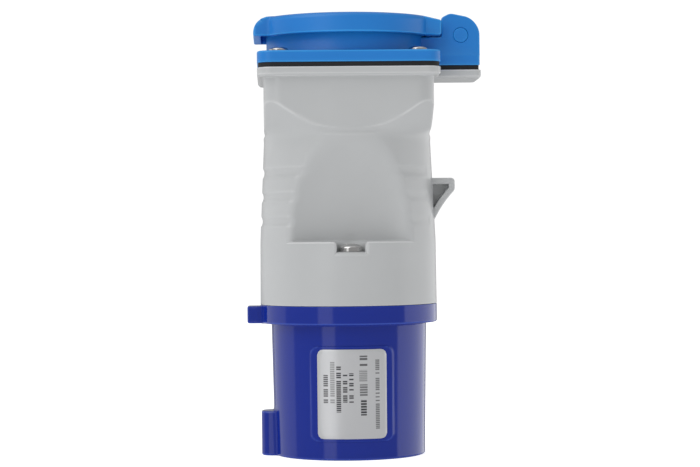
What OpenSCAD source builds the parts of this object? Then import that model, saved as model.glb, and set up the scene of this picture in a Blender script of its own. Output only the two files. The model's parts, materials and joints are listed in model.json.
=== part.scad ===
// Plug adapter: a keyed round-pin plug below, a lidded earthed socket above, one moulded housing between.
// It stands on the rim of the plug's shroud. The origin is the centre of the mouth.
// +X points to the lid's hinge, -X to the plug's key, -Y to the label.

/* [Plug shroud] */
// Outer radius of the shroud at its mouth
shroud_mouth_r = 21.05; // [20.8:0.05:22]
// Outer radius of the shroud under its flange
shroud_root_r = 21.75; // [21.5:0.05:22.5]
// Wall of the shroud at its mouth
shroud_wall = 2.6; // [2.2:0.1:3]
// Height of the shroud from its mouth to its flange
shroud_h = 37; // [35:0.1:40]
// Thickness of the plug's flange
flange_t = 4.8; // [4.4:0.1:7]
// How far the key stands out of the shroud
key_out = 3.75; // [2.5:0.05:4]
// Width of the key
key_w = 8.6; // [7:0.1:10]
// Height of the key
key_h = 12.4; // [8:0.1:20]
// Radius of the key's nose corners
key_nose_r = 3; // [1:0.1:3.4]
// How far the retaining lug stands out of the flange
lug_out = 3.7; // [2:0.1:5]
// Width of the retaining lug
lug_w = 8.8; // [6:0.1:12]
// Radius of the retaining lug's corners
lug_corner_r = 1; // [0.4:0.1:2]
// Depth of the pin floor behind the mouth
pin_floor_depth = 36; // [34:0.1:37]
// Thickness of the pin floor
pin_floor_t = 3; // [2.6:0.1:4]
// Bevel of the shroud's rim and of the flange's edges
shroud_bevel = 0.5; // [0.2:0.1:1]
// Height of the spigot that enters the housing
spigot_h = 5; // [4:0.5:6]
// Wall of the spigot
spigot_wall = 2; // [1.6:0.1:2.4]
// Wall left under a blind pilot hole
pilot_floor = 0.6; // [0.4:0.1:1]

/* [Label] */
// Width of the raised label pad
pad_w = 22.6; // [20.5:0.1:24]
// Height of the raised label pad
pad_h = 25.9; // [25.2:0.1:28]
// Height of the middle of the pad and label above the mouth
pad_z = 18.15; // [16:0.05:20]
// How far the pad stands out of the shroud
pad_t = 0.25; // [0.15:0.05:0.5]
// Margin between the label and the sides of the pad
label_side_margin = 1.6; // [0.5:0.05:3]
// Margin between the label and the top and bottom of the pad
label_end_margin = 0.75; // [0.4:0.05:2]
// Thickness of the label
label_t = 0.15; // [0.1:0.05:0.3]
// Thickness of the label's adhesive
label_stick = 0.02; // [0.01:0.01:0.05]
// Radius of the label's corners
label_corner_r = 1.6; // [0.5:0.1:3]
// How much larger the radius of the pad's corners is
pad_corner_more = 0.5; // [0.2:0.1:1]

/* [Pins] */
// Radius of the circle that the pins stand on
pin_circle_r = 10.5; // [10:0.1:10.8]
// Radius of the earth pin
earth_pin_r = 3; // [2.6:0.1:3.2]
// Radius of the live and neutral pins
power_pin_r = 2.5; // [2.2:0.1:3]
// Depth of the pins' tips behind the mouth
pin_recess = 6; // [3:0.5:12]
// Bevel of the pins' tips
pin_bevel = 1; // [0.4:0.1:1.5]
// Radius of the pins' screw terminals
terminal_r = 3.3; // [3.2:0.05:3.5]
// Height of the pins' screw terminals above the carrier
terminal_h = 9.5; // [8.5:0.5:12]
// How far the pins' seating collars reach past the terminals
pin_seat = 1.2; // [0.8:0.1:1.5]
// Thickness of the pins' seating collars
pin_seat_t = 1.8; // [1.2:0.1:2.4]
// How much thinner the pins' necks are, in radius
pin_neck_in = 0.2; // [0.1:0.05:0.4]
// Height of the pins' necks below the pin floor
pin_neck_h = 1; // [0.6:0.1:2]
// Thickness of the pin carrier
carrier_t = 5.2; // [4.4:0.1:7]
// Wall of the pin carrier outside the pins' collars
carrier_edge = 1.6; // [1:0.1:1.8]
// Distance from the axis to the carrier's screws
carrier_screw_at = 12.3; // [11.8:0.1:12.8]
// Radius of the carrier screw's shank
carrier_shank_r = 1.2; // [1:0.05:1.4]
// Radius of the carrier screw's head
carrier_head_r = 2.3; // [2:0.1:2.6]
// Height of the carrier screw's head
carrier_head_h = 1.5; // [1.2:0.1:1.8]
// Depth of the wire holes in the terminals
wire_hole_d = 6; // [5:0.5:7]
// Distance from a terminal's end to its clamp screw
clamp_up = 3; // [2.4:0.1:3.5]
// Radius of the clamp screws
clamp_r = 1.3; // [1:0.05:1.4]

/* [Housing] */
// How far the round collar and the plug's flange stay inside the plate's width, on each side
body_inset = 0.2; // [0:0.05:0.5]
// Wall of the housing
house_wall = 2.4; // [2:0.1:2.6]
// Height of the round collar, up to the screw ledges
collar_h = 17.45; // [15:0.05:22]
// How much the collar's radius draws in from the seam to the ledges
collar_draft = 0.15; // [0:0.05:0.4]
// Height of the tapered grip
grip_h = 29.8; // [26:0.1:34]
// Radius at the top of the grip
neck_r = 23.3; // [22.8:0.1:23.3]
// Height of the square head below its rim
head_h = 15.25; // [15:0.05:20]
// Width across the flats of the square head
head_w = 46.6; // [46.6:0.1:48]
// Radius of the head's upright edges
head_corner_r = 5; // [4:0.1:9]
// How fast the grip widens into the head, sideways for each millimetre up
head_flare = 0.9; // [0.7:0.01:1.2]
// Thickness of the rim at the top
rim_t = 2.4; // [2:0.1:4]
// Bevel under the rim
rim_bevel = 0.6; // [0.4:0.1:1.6]
// How far the bracket under the hinge reaches past the hinge block
bracket_lip = 0.4; // [0:0.1:1.5]
// How far the bracket reaches past the hinge block on each side
bracket_side = 0.3; // [0:0.1:1]
// Height over which the room inside opens out to the well
room_flare_h = 3; // [2:0.1:5]
// Radius of the bosses round the ledge screws
boss_r = 3.6; // [3.2:0.1:3.8]
// Thickness of the shelf round a screw notch
shelf_t = 2.4; // [1.8:0.1:3]
// How far that shelf reaches past the boss
shelf_out = 1; // [0.5:0.1:2]

/* [Scoops and ledges] */
// Distance from the axis to the deepest line of a scoop
scoop_floor = 15; // [14.6:0.05:16]
// Radius of the scoop seen from above
scoop_plan_r = 36; // [32:0.5:42]
// Height of the scoop's deepest line above the ledge
scoop_low = 2.5; // [0:0.1:5]
// How far above the grip's end the scoop runs out
scoop_run = -0.4; // [-1:0.1:1]
// Width of the screw notch in a ledge
notch_w = 7.9; // [7:0.1:9]
// Depth of the screw notch below the ledge
notch_d = 2.8; // [2:0.1:4]
// Distance from the collar's surface in to the ledge screw's axis
ledge_screw_in = 4.4; // [4.2:0.05:4.5]
// Radius of the ledge screw's head
ledge_head_r = 2.7; // [2.3:0.1:3.2]
// Height of the ledge screw's head
ledge_head_h = 2.3; // [1.6:0.1:2.6]
// Radius of the ledge screw's shank
ledge_shank_r = 1.75; // [1.5:0.05:1.8]

/* [Grip grooves] */
// Height of one groove
groove_w = 2.8; // [2:0.1:3.4]
// Depth of one groove
groove_d = 0.45; // [0.2:0.05:0.6]
// Distance between grooves
groove_pitch = 6.75; // [5:0.05:7]
// Height of the lowest groove above the ledge
groove_first = 5.7; // [4:0.1:7]
// Number of grooves
groove_count = 3; // [1:1:3]
// Angle on each side of the hook that stays smooth
groove_stop_deg = 24; // [18:1:40]

/* [Hook] */
// Distance from the axis to the hook's outer face
hook_reach = 30; // [28.5:0.1:33]
// Height of the hook's lower tip above the ledge
hook_low = 5.95; // [3:0.05:9]
// Height of the hook
hook_h = 11.6; // [10:0.1:16]
// Height of the hook's upright outer face
hook_face_h = 3.4; // [2.4:0.1:5]
// Width of the hook
hook_w = 8; // [6:0.1:10]
// Wall round the hook's pocket
hook_wall = 1.8; // [1.2:0.1:2.2]
// Thickness of the web in the hook's pocket
hook_web = 1.6; // [1:0.1:3]
// How deep the hook's slanted edge is hollowed
hook_hollow = 0.4; // [0.1:0.1:0.8]
// Radius of the hook's upper corner
hook_corner_r = 1.1; // [0.5:0.1:2]
// How far the hook's pockets reach into the grip
hook_root_in = 0.3; // [0.1:0.1:0.6]
// How far the hook's lower tip is sunk into the grip
hook_tip_in = 0.15; // [0.1:0.05:0.4]

/* [Socket] */
// Width of the square plate
plate_w = 50; // [49.5:0.1:53]
// Radius of the plate's corners
plate_corner_r = 4; // [2:0.1:5]
// Thickness of the plate
plate_t = 3.2; // [2.4:0.1:4]
// Thickness of the flange gasket
flange_gasket_t = 1.25; // [0.8:0.05:2]
// How far the flange gasket stays inside the plate's edge
flange_gasket_inset = 0.35; // [0:0.05:1]
// Distance between the plate's screws
plate_screw_pitch = 38; // [37.6:0.1:38.4]
// Radius of the plate screw's head
plate_head_r = 2.65; // [2.2:0.05:2.8]
// Height of the plate screw's head
plate_head_h = 1.8; // [1.4:0.1:2.4]
// Radius of the plate screw's shank
plate_shank_r = 1.5; // [1.2:0.05:1.6]
// Length of the plate screw's shank
plate_shank_l = 13; // [9:0.5:14]
// Radius of the well that takes the domestic plug
well_r = 19.6; // [19.2:0.1:19.7]
// Depth of the well
well_depth = 17.5; // [16:0.5:19]
// Wall of the well below the plate
well_wall = 1.7; // [1.4:0.1:1.8]
// Thickness of the well's floor
well_floor_t = 3; // [2.6:0.1:4]
// Height of the collar above the plate
socket_collar_h = 6.8; // [6.6:0.1:9]
// Distance between the two pin holes
pin_hole_pitch = 19; // [18.8:0.1:19.2]
// Radius of the pin holes
pin_hole_r = 2.9; // [2.6:0.1:3.1]
// Radius of the insert's two bosses, which fill holes in the well's floor round the pin holes
pin_boss_r = 4.6; // [4.4:0.1:4.8]
// Width of the two guide ribs in the well
guide_w = 4.6; // [3:0.1:6]
// How far the guide ribs stand into the well
guide_out = 2; // [1:0.1:3]
// How far below the collar's edge the guide ribs end
guide_down = 2; // [1:0.1:4]
// Depth of the bevel round the pin holes
hole_bevel = 0.6; // [0.3:0.1:1]

/* [Contacts] */
// How far the sleeve stays below the well's floor
sleeve_down = 0.3; // [0.2:0.1:0.6]
// Solid bottom under the sleeve's bore
sleeve_floor = 1.5; // [1:0.1:2]
// How far the contact's seating collar reaches past the sleeve
contact_seat_out = 1.1; // [0.8:0.1:1.4]
// Thickness of the contact's seating collar
contact_seat_t = 1.5; // [1:0.1:2]
// Radius of the base screw's head
base_head_r = 3; // [2.6:0.1:3.2]
// Height of the base screw's head
base_head_h = 1.5; // [1.2:0.1:1.8]
// How far the base screw's head is sunk below the well's floor
base_head_sink = 0.1; // [0:0.05:0.3]
// Radius of the base screw's shank
base_shank_r = 1.5; // [1.2:0.1:1.8]
// Length of the base screw's shank
base_shank_l = 11; // [8:0.5:12]
// Bore of the sleeve that takes a domestic plug's pin
sleeve_bore_r = 2.45; // [2.42:0.01:2.55]
// Wall of the sleeve
sleeve_wall = 1.05; // [0.8:0.05:1.2]
// Width of the slot that lets the sleeve spring
sleeve_slot = 0.9; // [0.5:0.1:1.2]
// Height of the contact base
base_h = 11.9; // [11:0.1:13]
// Radius of the contact base
base_r = 17; // [15.5:0.1:17.4]
// Height of the contact's screw terminal
contact_terminal_h = 8; // [7:0.5:9]
// Thickness of the earth strip
strip_t = 1; // [0.8:0.1:1.2]
// Width of the earth strip
strip_w = 5.6; // [4:0.1:6]
// Thickness of the earth clips
clip_t = 0.8; // [0.6:0.1:0.9]
// How far an earth clip bows into the well
clip_bow = 2; // [1.2:0.1:2.4]
// How far an earth clip's back lies outside the well
clip_back = 1; // [0.8:0.1:1.2]
// Height of an earth clip's lower bend above the well's floor
clip_low = 2; // [1:0.1:4]
// How far below the collar's edge an earth clip's slot ends
clip_down = 2.4; // [2:0.1:4]
// Gap between an earth clip's tip and the end of its slot
clip_tip_gap = 1; // [0.6:0.1:1.5]
// Gap beside an earth clip in its slot
clip_side_gap = 0.4; // [0.2:0.1:0.6]
// Depth of an earth clip's slot behind the well's wall
clip_slot_in = 1.4; // [1.2:0.1:1.6]
// Width of the earth terminal block
earth_block_w = 6.4; // [6:0.1:7]
// Height of the earth terminal block
earth_block_h = 7.5; // [7:0.1:9]
// How far the earth block hangs below the contact base
earth_block_drop = 1.5; // [1:0.1:3]
// Thickness of the tab that carries the earth block
earth_tab_t = 0.9; // [0.8:0.1:1.2]
// Gap between that tab and the contact base
earth_tab_gap = 0.9; // [0.5:0.1:1]
// Radius of the wires
wire_r = 1.2; // [1:0.05:1.3]
// Radius of the wires' bends
wire_bend_r = 10; // [6:0.5:12]

/* [Lid] */
// Radius of the lid
lid_r = 25.7; // [25.5:0.1:27]
// Height of the lid
lid_h = 5.35; // [5.2:0.05:7]
// How far the lid's skirt hangs below the collar's edge
lid_overlap = 1.9; // [1:0.1:2.1]
// Wall of the lid's skirt
lid_skirt = 2; // [1.4:0.1:2.2]
// Thickness of the lid's top
lid_top = 2.1; // [1.6:0.1:2.2]
// Radius of the lid's top edge
lid_edge_r = 1.5; // [0.5:0.1:1.8]
// Width of the thumb tab and of the shoulder opposite
tab_w = 28; // [24:0.5:30]
// How far the thumb tab reaches past the lid's edge
tab_out = 0.3; // [0.3:0.1:4]
// Radius of the thumb tab's upper edge
tab_round = 4.6; // [1:0.05:4.8]
// Width of the sealing ring under the lid
seal_w = 4.8; // [4.4:0.1:6]

/* [Hinge] */
// Radius of the hinge pin
hinge_pin_r = 2.05; // [1.6:0.05:2.4]
// Distance from the lid's edge out to the hinge pin's axis
hinge_out = 5.9; // [5:0.1:6]
// Height of the hinge pin's axis above the plate
hinge_up = 5.15; // [5.1:0.05:6]
// Width of the lid's knuckles together
knuckle_w = 12.4; // [11:0.1:13]
// Radius of the lid's knuckles
knuckle_r = 4.3; // [3.8:0.1:4.5]
// Width of the gap between the knuckles, for the spring
spring_w = 6.8; // [6.4:0.1:7.4]
// Thickness of a hinge ear
ear_t = 2.2; // [1.8:0.1:3]
// Distance from the hinge pin's axis to an ear's upright edges
ear_reach = 5.3; // [5:0.1:5.4]
// Radius of an ear's outer shoulder
ear_round = 4.3; // [3:0.1:4.6]
// Height of an ear's crest above the hinge pin's axis
ear_rise = 6.1; // [5.6:0.1:6.5]
// How far an ear's top falls from its crest to its outer shoulder
ear_fall = 0.8; // [0.2:0.1:1.5]
// Distance from an ear's inner edge to its crest
ear_ramp = 2.4; // [1:0.1:4]
// How far an ear's inner corner lies below its crest
ear_ramp_fall = 1.2; // [0.4:0.1:2]
// Radius of the spring's wire
spring_wire_r = 0.4; // [0.3:0.05:0.45]
// Radius of the spring's coil, to the middle of its wire
spring_coil_r = 3.1; // [3:0.05:3.4]
// Number of full turns in the spring
spring_turns = 4; // [3:1:5]

/* [Clearances] */
// Gap round a piece that is seated in another
seat_gap = 0.2; // [0.1:0.05:0.25]
// Gap between the lid and what it closes over
lid_gap = 0.3; // [0.3:0.05:0.4]
// Gap between the lid's skirt and the socket's collar
collar_gap = 1.3; // [0.6:0.1:1.4]
// Gap between the lid's shoulder and the ears
shoulder_gap = 0.4; // [0.3:0.1:1]
// Gap between the lid's skirt and its seal
seal_gap = 0.6; // [0.3:0.1:1]
// Running gap of the lid's knuckles on the hinge pin
pin_run = 0.05; // [0.02:0.01:0.1]
// Side gap between the knuckles and the ears
ear_gap = 0.6; // [0.4:0.1:0.8]
// Gap round a screw's shank in its pilot hole
thread_gap = 0.05; // [0.02:0.01:0.1]
// Gap round a screw's shank in a through hole
through_gap = 0.2; // [0.1:0.05:0.3]
// Gap past the end of a screw or a wire in its hole
end_gap = 0.3; // [0.2:0.1:0.5]
// Gap round a wire in its hole
wire_gap = 0.15; // [0.1:0.05:0.2]
// Gap between a clamp screw and its wire
clamp_gap = 0.1; // [0.05:0.05:0.2]
// Thickness of the gasket between shroud and housing
plug_gasket_t = 0.4; // [0.3:0.1:1]
// How far that gasket stays inside the collar's surface
plug_gasket_inset = 0.4; // [0.2:0.1:1]

/* [Hidden] */
$fn = 96;

plug_blue = [0.12, 0.17, 0.5];
socket_blue = [0.15, 0.44, 0.76];
house_grey = [0.71, 0.72, 0.72];
rubber_black = [0.13, 0.13, 0.14];
brass = [0.8, 0.66, 0.36];
steel = [0.75, 0.75, 0.77];
insert_white = [0.9, 0.9, 0.88];
label_silver = [0.74, 0.75, 0.76];

// How far a cutting shape runs past the face that it cuts
over = 1;
// Larger than any width of the part
far = 4 * plate_w;
// Longer than any hole that is cut upwards from inside
tall = far / 4;

// Heights of the plug
flange_z = shroud_h + flange_t;
floor_z = pin_floor_depth + pin_floor_t;
carrier_z = floor_z + carrier_t;
terminal_z = carrier_z + terminal_h;

// Heights of the housing
house_z = flange_z + plug_gasket_t;
ledge_z = house_z + collar_h;
shoulder_z = ledge_z + grip_h;
rim_z = shoulder_z + head_h;
top_z = rim_z + rim_t;
seat_z = ledge_z - notch_d;

// Heights of the socket and lid
plate_z = top_z + flange_gasket_t;
face_z = plate_z + plate_t;
mouth_z = face_z + socket_collar_h;
well_z = mouth_z - well_depth;
base_z = well_z - well_floor_t;
lid_z = mouth_z - lid_overlap;
crown_z = lid_z + lid_h;
ceiling_z = crown_z - lid_top;

// Radii and places of the plug
plate_half = plate_w / 2;
body_r = plate_half - body_inset;
shroud_in_r = shroud_mouth_r - shroud_wall;
label_w = pad_w - 2 * label_side_margin;
label_h = pad_h - 2 * label_end_margin;
ledge_screw_y = body_r - ledge_screw_in;
pilot_r = ledge_shank_r + thread_gap;
pin_seat_r = terminal_r + pin_seat;
carrier_r = pin_circle_r + pin_seat_r + carrier_edge;
seat_r = carrier_r + seat_gap;
collar_in_r = body_r - house_wall;
spigot_r = collar_in_r - seat_gap;
pin_angles = [180, 60, -60];
carrier_screw_angles = [120, -120];

// Radii and places of the housing
ledge_r = body_r - collar_draft;
head_half = head_w / 2;
well_out_r = well_r + well_wall;
well_bore_r = well_out_r + seat_gap;
scoop_rise = grip_h + scoop_run - scoop_low;
scoop_dip = neck_r - scoop_floor;
scoop_r = (scoop_rise * scoop_rise + scoop_dip * scoop_dip) / (2 * scoop_dip);
scoop_z = ledge_z + scoop_low;
groove_r = (groove_w * groove_w / 4 + groove_d * groove_d) / (2 * groove_d);

// Places of the lid and hinge
lid_room_r = lid_r - lid_skirt;
socket_collar_r = lid_room_r - collar_gap;
hinge_x = lid_r + hinge_out;
hinge_z = face_z + hinge_up;
knuckle_half = knuckle_w / 2;
ear_in = knuckle_half + ear_gap;
ear_out = ear_in + ear_t;
ear_x0 = hinge_x - ear_reach;
ear_x1 = hinge_x + ear_reach;
cheek_z = lid_z - lid_gap;
tab_x = lid_r + tab_out;
spring_half = spring_w / 2 - spring_wire_r - lid_gap;
shoulder_x = ear_x0 - shoulder_gap;
ear_swing_r = norm([ear_reach, ear_rise]) + lid_gap;
bracket_x = ear_x1 + bracket_lip;
bracket_half = ear_out + bracket_side;

// Places of the contacts
contact_y = pin_hole_pitch / 2;
sleeve_r = sleeve_bore_r + sleeve_wall;
contact_seat_z = base_z - base_h;
contact_seat_r = sleeve_r + contact_seat_out;
contact_terminal_z = contact_seat_z - contact_seat_t;
contact_low_z = contact_terminal_z - contact_terminal_h;
wire_hole_r = wire_r + wire_gap;
clip_out = well_r + clip_back;
clip_slot = strip_w / 2 + clip_side_gap;
clip_low_z = well_z + clip_low;
clip_high_z = mouth_z - clip_down;
earth_tab_x = base_r + earth_tab_gap;
earth_block_z = contact_seat_z - earth_block_drop;
earth_low_z = earth_block_z - earth_block_h;
earth_wire_x = -(earth_tab_x + earth_tab_t - earth_block_w / 2);
base_seat_z = well_z - base_head_h - base_head_sink;
// How much shorter than its clamped length a screw's shank is
screw_short = pilot_floor + end_gap;

// Outer radius of the shroud's skirt at a height
function shroud_r(z) = shroud_mouth_r + (shroud_root_r - shroud_mouth_r) * z / shroud_h;
// Outer radius of the grip at a height
function grip_r(z) = ledge_r + (neck_r - ledge_r) * (z - ledge_z) / grip_h;
// Place of a pin on its circle
function pin_xy(angle) = [pin_circle_r * cos(angle), pin_circle_r * sin(angle)];

// Flat rectangle with round corners, centred
module round_rect(half_x, half_y, r) {
    square([2 * (half_x - r), 2 * half_y], center = true);
    square([2 * half_x, 2 * (half_y - r)], center = true);
    for (sx = [-1, 1], sy = [-1, 1])
        translate([sx * (half_x - r), sy * (half_y - r)])
            circle(r);
}

// Profile drawn in X and Z, given its thickness along Y and centred on Y = 0
module along_y(width) {
    translate([0, width / 2, 0])
        rotate([90, 0, 0])
            linear_extrude(width)
                children();
}

// The four corners of the plate's screw pattern
module at_plate_screws() {
    for (sx = [-1, 1], sy = [-1, 1])
        translate([sx, sy] * plate_screw_pitch / 2)
            children();
}

// The two sides that carry a ledge screw
module at_ledge_screws() {
    for (side = [-1, 1])
        translate([0, side * ledge_screw_y])
            children();
}

// Pan-headed screw with a cross recess: its seat is at Z = 0, head above and shank below
module pan_screw(head_r, head_h, shank_r, shank_l) {
    dome = 0.6 * head_h;
    dome_r = (head_r * head_r + dome * dome) / (2 * dome);
    recess_l = 1.3 * head_r;
    recess_w = 0.3 * head_r;
    difference() {
        union() {
            intersection() {
                cylinder(r = head_r, h = head_h);
                translate([0, 0, head_h - dome_r])
                    sphere(dome_r);
            }
            translate([0, 0, -shank_l])
                cylinder(r = shank_r, h = shank_l + head_h / 4);
        }
        for (turn = [0, 90])
            rotate(turn)
                translate([0, 0, head_h])
                    cube([recess_l, recess_w, head_h], center = true);
    }
}

// Grub screw along +X, from a wire's surface out to the face of its terminal
module clamp_screw(inner, outer) {
    translate([inner, 0, 0])
        rotate([0, 90, 0])
            difference() {
                cylinder(r = clamp_r, h = outer - inner);
                translate([0, 0, outer - inner])
                    cube([3 * clamp_r, 0.5 * clamp_r, clamp_r], center = true);
            }
}

// Round wire along a path: each ring has a centre and the two unit vectors that it lies in
module swept_wire(rings, r) {
    sides = 8;
    last = len(rings) - 1;
    points = [for (ring = rings, k = [0:sides - 1])
        ring[0] + r * (cos(360 * k / sides) * ring[1] + sin(360 * k / sides) * ring[2])];
    walls = [for (i = [0:last - 1], k = [0:sides - 1])
        let (n = (k + 1) % sides)
            [i * sides + k, (i + 1) * sides + k, (i + 1) * sides + n, i * sides + n]];
    ends = [[for (k = [0:sides - 1]) k], [for (k = [sides - 1:-1:0]) last * sides + k]];
    polyhedron(points, concat(walls, ends));
}

// Wire that leaves one terminal upwards and enters the next from below, with an S bend between
module s_wire(start, end) {
    steps = 6;
    d = norm([end[0] - start[0], end[1] - start[1]]);
    h = end[2] - start[2];
    across = [end[0] - start[0], end[1] - start[1], 0] / d;
    side = [-across[1], across[0], 0];
    up = [0, 0, 1];
    turn = acos(1 - d / (2 * wire_bend_r));
    straight = h / 2 - wire_bend_r * sin(turn);
    bends = [for (i = [0:steps]) i / steps * turn];
    lower = [for (a = bends) [wire_bend_r * (1 - cos(a)), straight + wire_bend_r * sin(a), a]];
    upper = [for (i = [steps - 1:-1:0]) [d - lower[i][0], h - lower[i][1], bends[i]]];
    path = concat([[0, 0, 0]], lower, upper, [[d, h, 0]]);
    rings = [for (p = path)
        [start + p[0] * across + p[1] * up, cos(p[2]) * across - sin(p[2]) * up, side]];
    swept_wire(rings, wire_r);
}

// Solid between the axis and a skin at a distance outside the shroud, seen through a window at the front
module shroud_patch(skin, w, h, r) {
    low = pad_z - h / 2;
    high = pad_z + h / 2;
    intersection() {
        rotate_extrude()
            polygon([[0, low], [shroud_r(low) + skin, low], [shroud_r(high) + skin, high], [0, high]]);
        translate([0, 0, pad_z])
            rotate([90, 0, 0])
                linear_extrude(2 * body_r)
                    round_rect(w / 2, h / 2, r);
    }
}

// Keyed shroud with the pin floor, the flange, the retaining lug and the spigot that enters the housing
module plug_shroud() {
    key_x = shroud_mouth_r + key_out;
    lug_x = body_r + lug_out;
    color(plug_blue)
        difference() {
            union() {
                rotate_extrude()
                    polygon([
                        [0, 0],
                        [shroud_mouth_r - shroud_bevel, 0],
                        [shroud_r(shroud_bevel), shroud_bevel],
                        [shroud_root_r, shroud_h],
                        [body_r - shroud_bevel, shroud_h],
                        [body_r, shroud_h + shroud_bevel],
                        [body_r, flange_z],
                        [spigot_r, flange_z],
                        [spigot_r, flange_z + spigot_h],
                        [0, flange_z + spigot_h]
                    ]);
                translate([-key_x / 2, 0, 0])
                    linear_extrude(key_h)
                        round_rect(key_x / 2, key_w / 2, key_nose_r);
                translate([-lug_x / 2, 0, shroud_h])
                    linear_extrude(flange_t)
                        round_rect(lug_x / 2, lug_w / 2, lug_corner_r);
                shroud_patch(pad_t, pad_w, pad_h, label_corner_r + pad_corner_more);
            }
            translate([0, 0, -over])
                cylinder(r = shroud_in_r, h = pin_floor_depth + over);
            translate([0, 0, floor_z])
                cylinder(r = seat_r, h = far);
            translate([0, 0, flange_z])
                cylinder(r = spigot_r - spigot_wall, h = far);
            pin_bores(through_gap);
            for (angle = carrier_screw_angles)
                rotate(angle)
                    translate([carrier_screw_at, 0, pin_floor_depth + pilot_floor])
                        cylinder(r = carrier_shank_r + thread_gap, h = pin_floor_t);
            at_ledge_screws() {
                translate([0, 0, flange_z])
                    cylinder(r = boss_r + seat_gap, h = far);
                translate([0, 0, shroud_h + pilot_floor])
                    cylinder(r = pilot_r, h = flange_t);
            }
        }
}

// The holes for the three pins' shanks
module pin_bores(gap) {
    for (angle = pin_angles)
        translate(pin_xy(angle))
            cylinder(r = (angle == 180 ? earth_pin_r : power_pin_r) + gap, h = floor_z + over);
}

// Thin sticker that follows the shroud's curve
module rating_label() {
    color(label_silver)
        difference() {
            shroud_patch(pad_t + label_stick + label_t, label_w, label_h, label_corner_r);
            shroud_patch(pad_t + label_stick, pad_w + over, pad_h + over, label_corner_r);
        }
}

// One turned pin: bevelled tip, neck and seating collar at the floor, screw terminal above the carrier
module plug_pin(angle, r) {
    neck_z = pin_floor_depth - pin_neck_h;
    color(brass)
        translate(pin_xy(angle))
            difference() {
                rotate_extrude()
                    polygon([
                        [0, pin_recess],
                        [r - pin_bevel, pin_recess],
                        [r, pin_recess + pin_bevel],
                        [r, neck_z],
                        [r - pin_neck_in, neck_z],
                        [r - pin_neck_in, floor_z],
                        [pin_seat_r, floor_z],
                        [pin_seat_r, floor_z + pin_seat_t],
                        [terminal_r, floor_z + pin_seat_t],
                        [terminal_r, terminal_z],
                        [0, terminal_z]
                    ]);
                translate([0, 0, terminal_z - wire_hole_d])
                    cylinder(r = wire_hole_r, h = wire_hole_d + over);
                rotate(angle)
                    translate([0, 0, terminal_z - clamp_up])
                        rotate([0, 90, 0])
                            cylinder(r = clamp_r + thread_gap, h = terminal_r + over);
            }
}

module pin_earth() {
    plug_pin(pin_angles[0], earth_pin_r);
}

module pin_live() {
    plug_pin(pin_angles[1], power_pin_r);
}

module pin_neutral() {
    plug_pin(pin_angles[2], power_pin_r);
}

// Moulded block that holds the pins' collars down on the floor
module pin_carrier() {
    color(insert_white)
        difference() {
            translate([0, 0, floor_z])
                cylinder(r = carrier_r, h = carrier_t);
            for (angle = pin_angles)
                translate([each pin_xy(angle), floor_z]) {
                    translate([0, 0, -over])
                        cylinder(r = terminal_r + seat_gap, h = carrier_t + 2 * over);
                    translate([0, 0, -over])
                        cylinder(r = pin_seat_r + seat_gap, h = pin_seat_t + over);
                }
            at_ledge_screws()
                cylinder(r = boss_r + seat_gap, h = far);
            for (angle = carrier_screw_angles)
                rotate(angle)
                    translate([carrier_screw_at, 0, floor_z - over])
                        cylinder(r = carrier_shank_r + through_gap, h = carrier_t + 2 * over);
        }
}

module carrier_screws() {
    shank_l = carrier_t + pin_floor_t - screw_short;
    color(steel)
        for (angle = carrier_screw_angles)
            rotate(angle)
                translate([carrier_screw_at, 0, carrier_z])
                    pan_screw(carrier_head_r, carrier_head_h, carrier_shank_r, shank_l);
}

module pin_screws() {
    color(steel)
        for (angle = pin_angles)
            translate([each pin_xy(angle), terminal_z - clamp_up])
                rotate(angle)
                    clamp_screw(wire_r + clamp_gap, terminal_r);
}

// Thin ring in the seam between the plug's flange and the housing
module plug_gasket() {
    color(rubber_black)
        translate([0, 0, flange_z])
            difference() {
                cylinder(r = body_r - plug_gasket_inset, h = plug_gasket_t);
                translate([0, 0, -over])
                    cylinder(r = spigot_r + seat_gap / 2, h = plug_gasket_t + 2 * over);
                at_ledge_screws()
                    translate([0, 0, -over])
                        cylinder(r = ledge_shank_r + through_gap, h = plug_gasket_t + 2 * over);
            }
}

// An upright barrel that scoops out one side above the ledge; extra makes it that much larger
module scoop(side, extra) {
    intersection() {
        translate([0, side * (scoop_floor + scoop_plan_r), scoop_z])
            rotate_extrude()
                intersection() {
                    translate([scoop_plan_r - scoop_r, 0])
                        circle(scoop_r + extra);
                    translate([0, -far / 2])
                        square(far);
                }
        translate([0, side * far / 2, ledge_z - extra + far / 2])
            cube(far, center = true);
    }
}

// Section of a plate with bevels under its two edges
module bevelled_section(half, t, bevel) {
    low = half - bevel;
    polygon([[-low, 0], [low, 0], [half, bevel], [half, t], [-half, t], [-half, bevel]]);
}

// Square plate with a bevel under its edges
module bevelled_plate(half_x, half_y, r, t, bevel) {
    along_y(2 * (half_y - r))
        bevelled_section(half_x, t, bevel);
    rotate(90)
        along_y(2 * (half_x - r))
            bevelled_section(half_y, t, bevel);
    for (sx = [-1, 1], sy = [-1, 1])
        translate([sx * (half_x - r), sy * (half_y - r)])
            rotate_extrude()
                polygon([[0, 0], [r - bevel, 0], [r, bevel], [r, t], [0, t]]);
}

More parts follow.
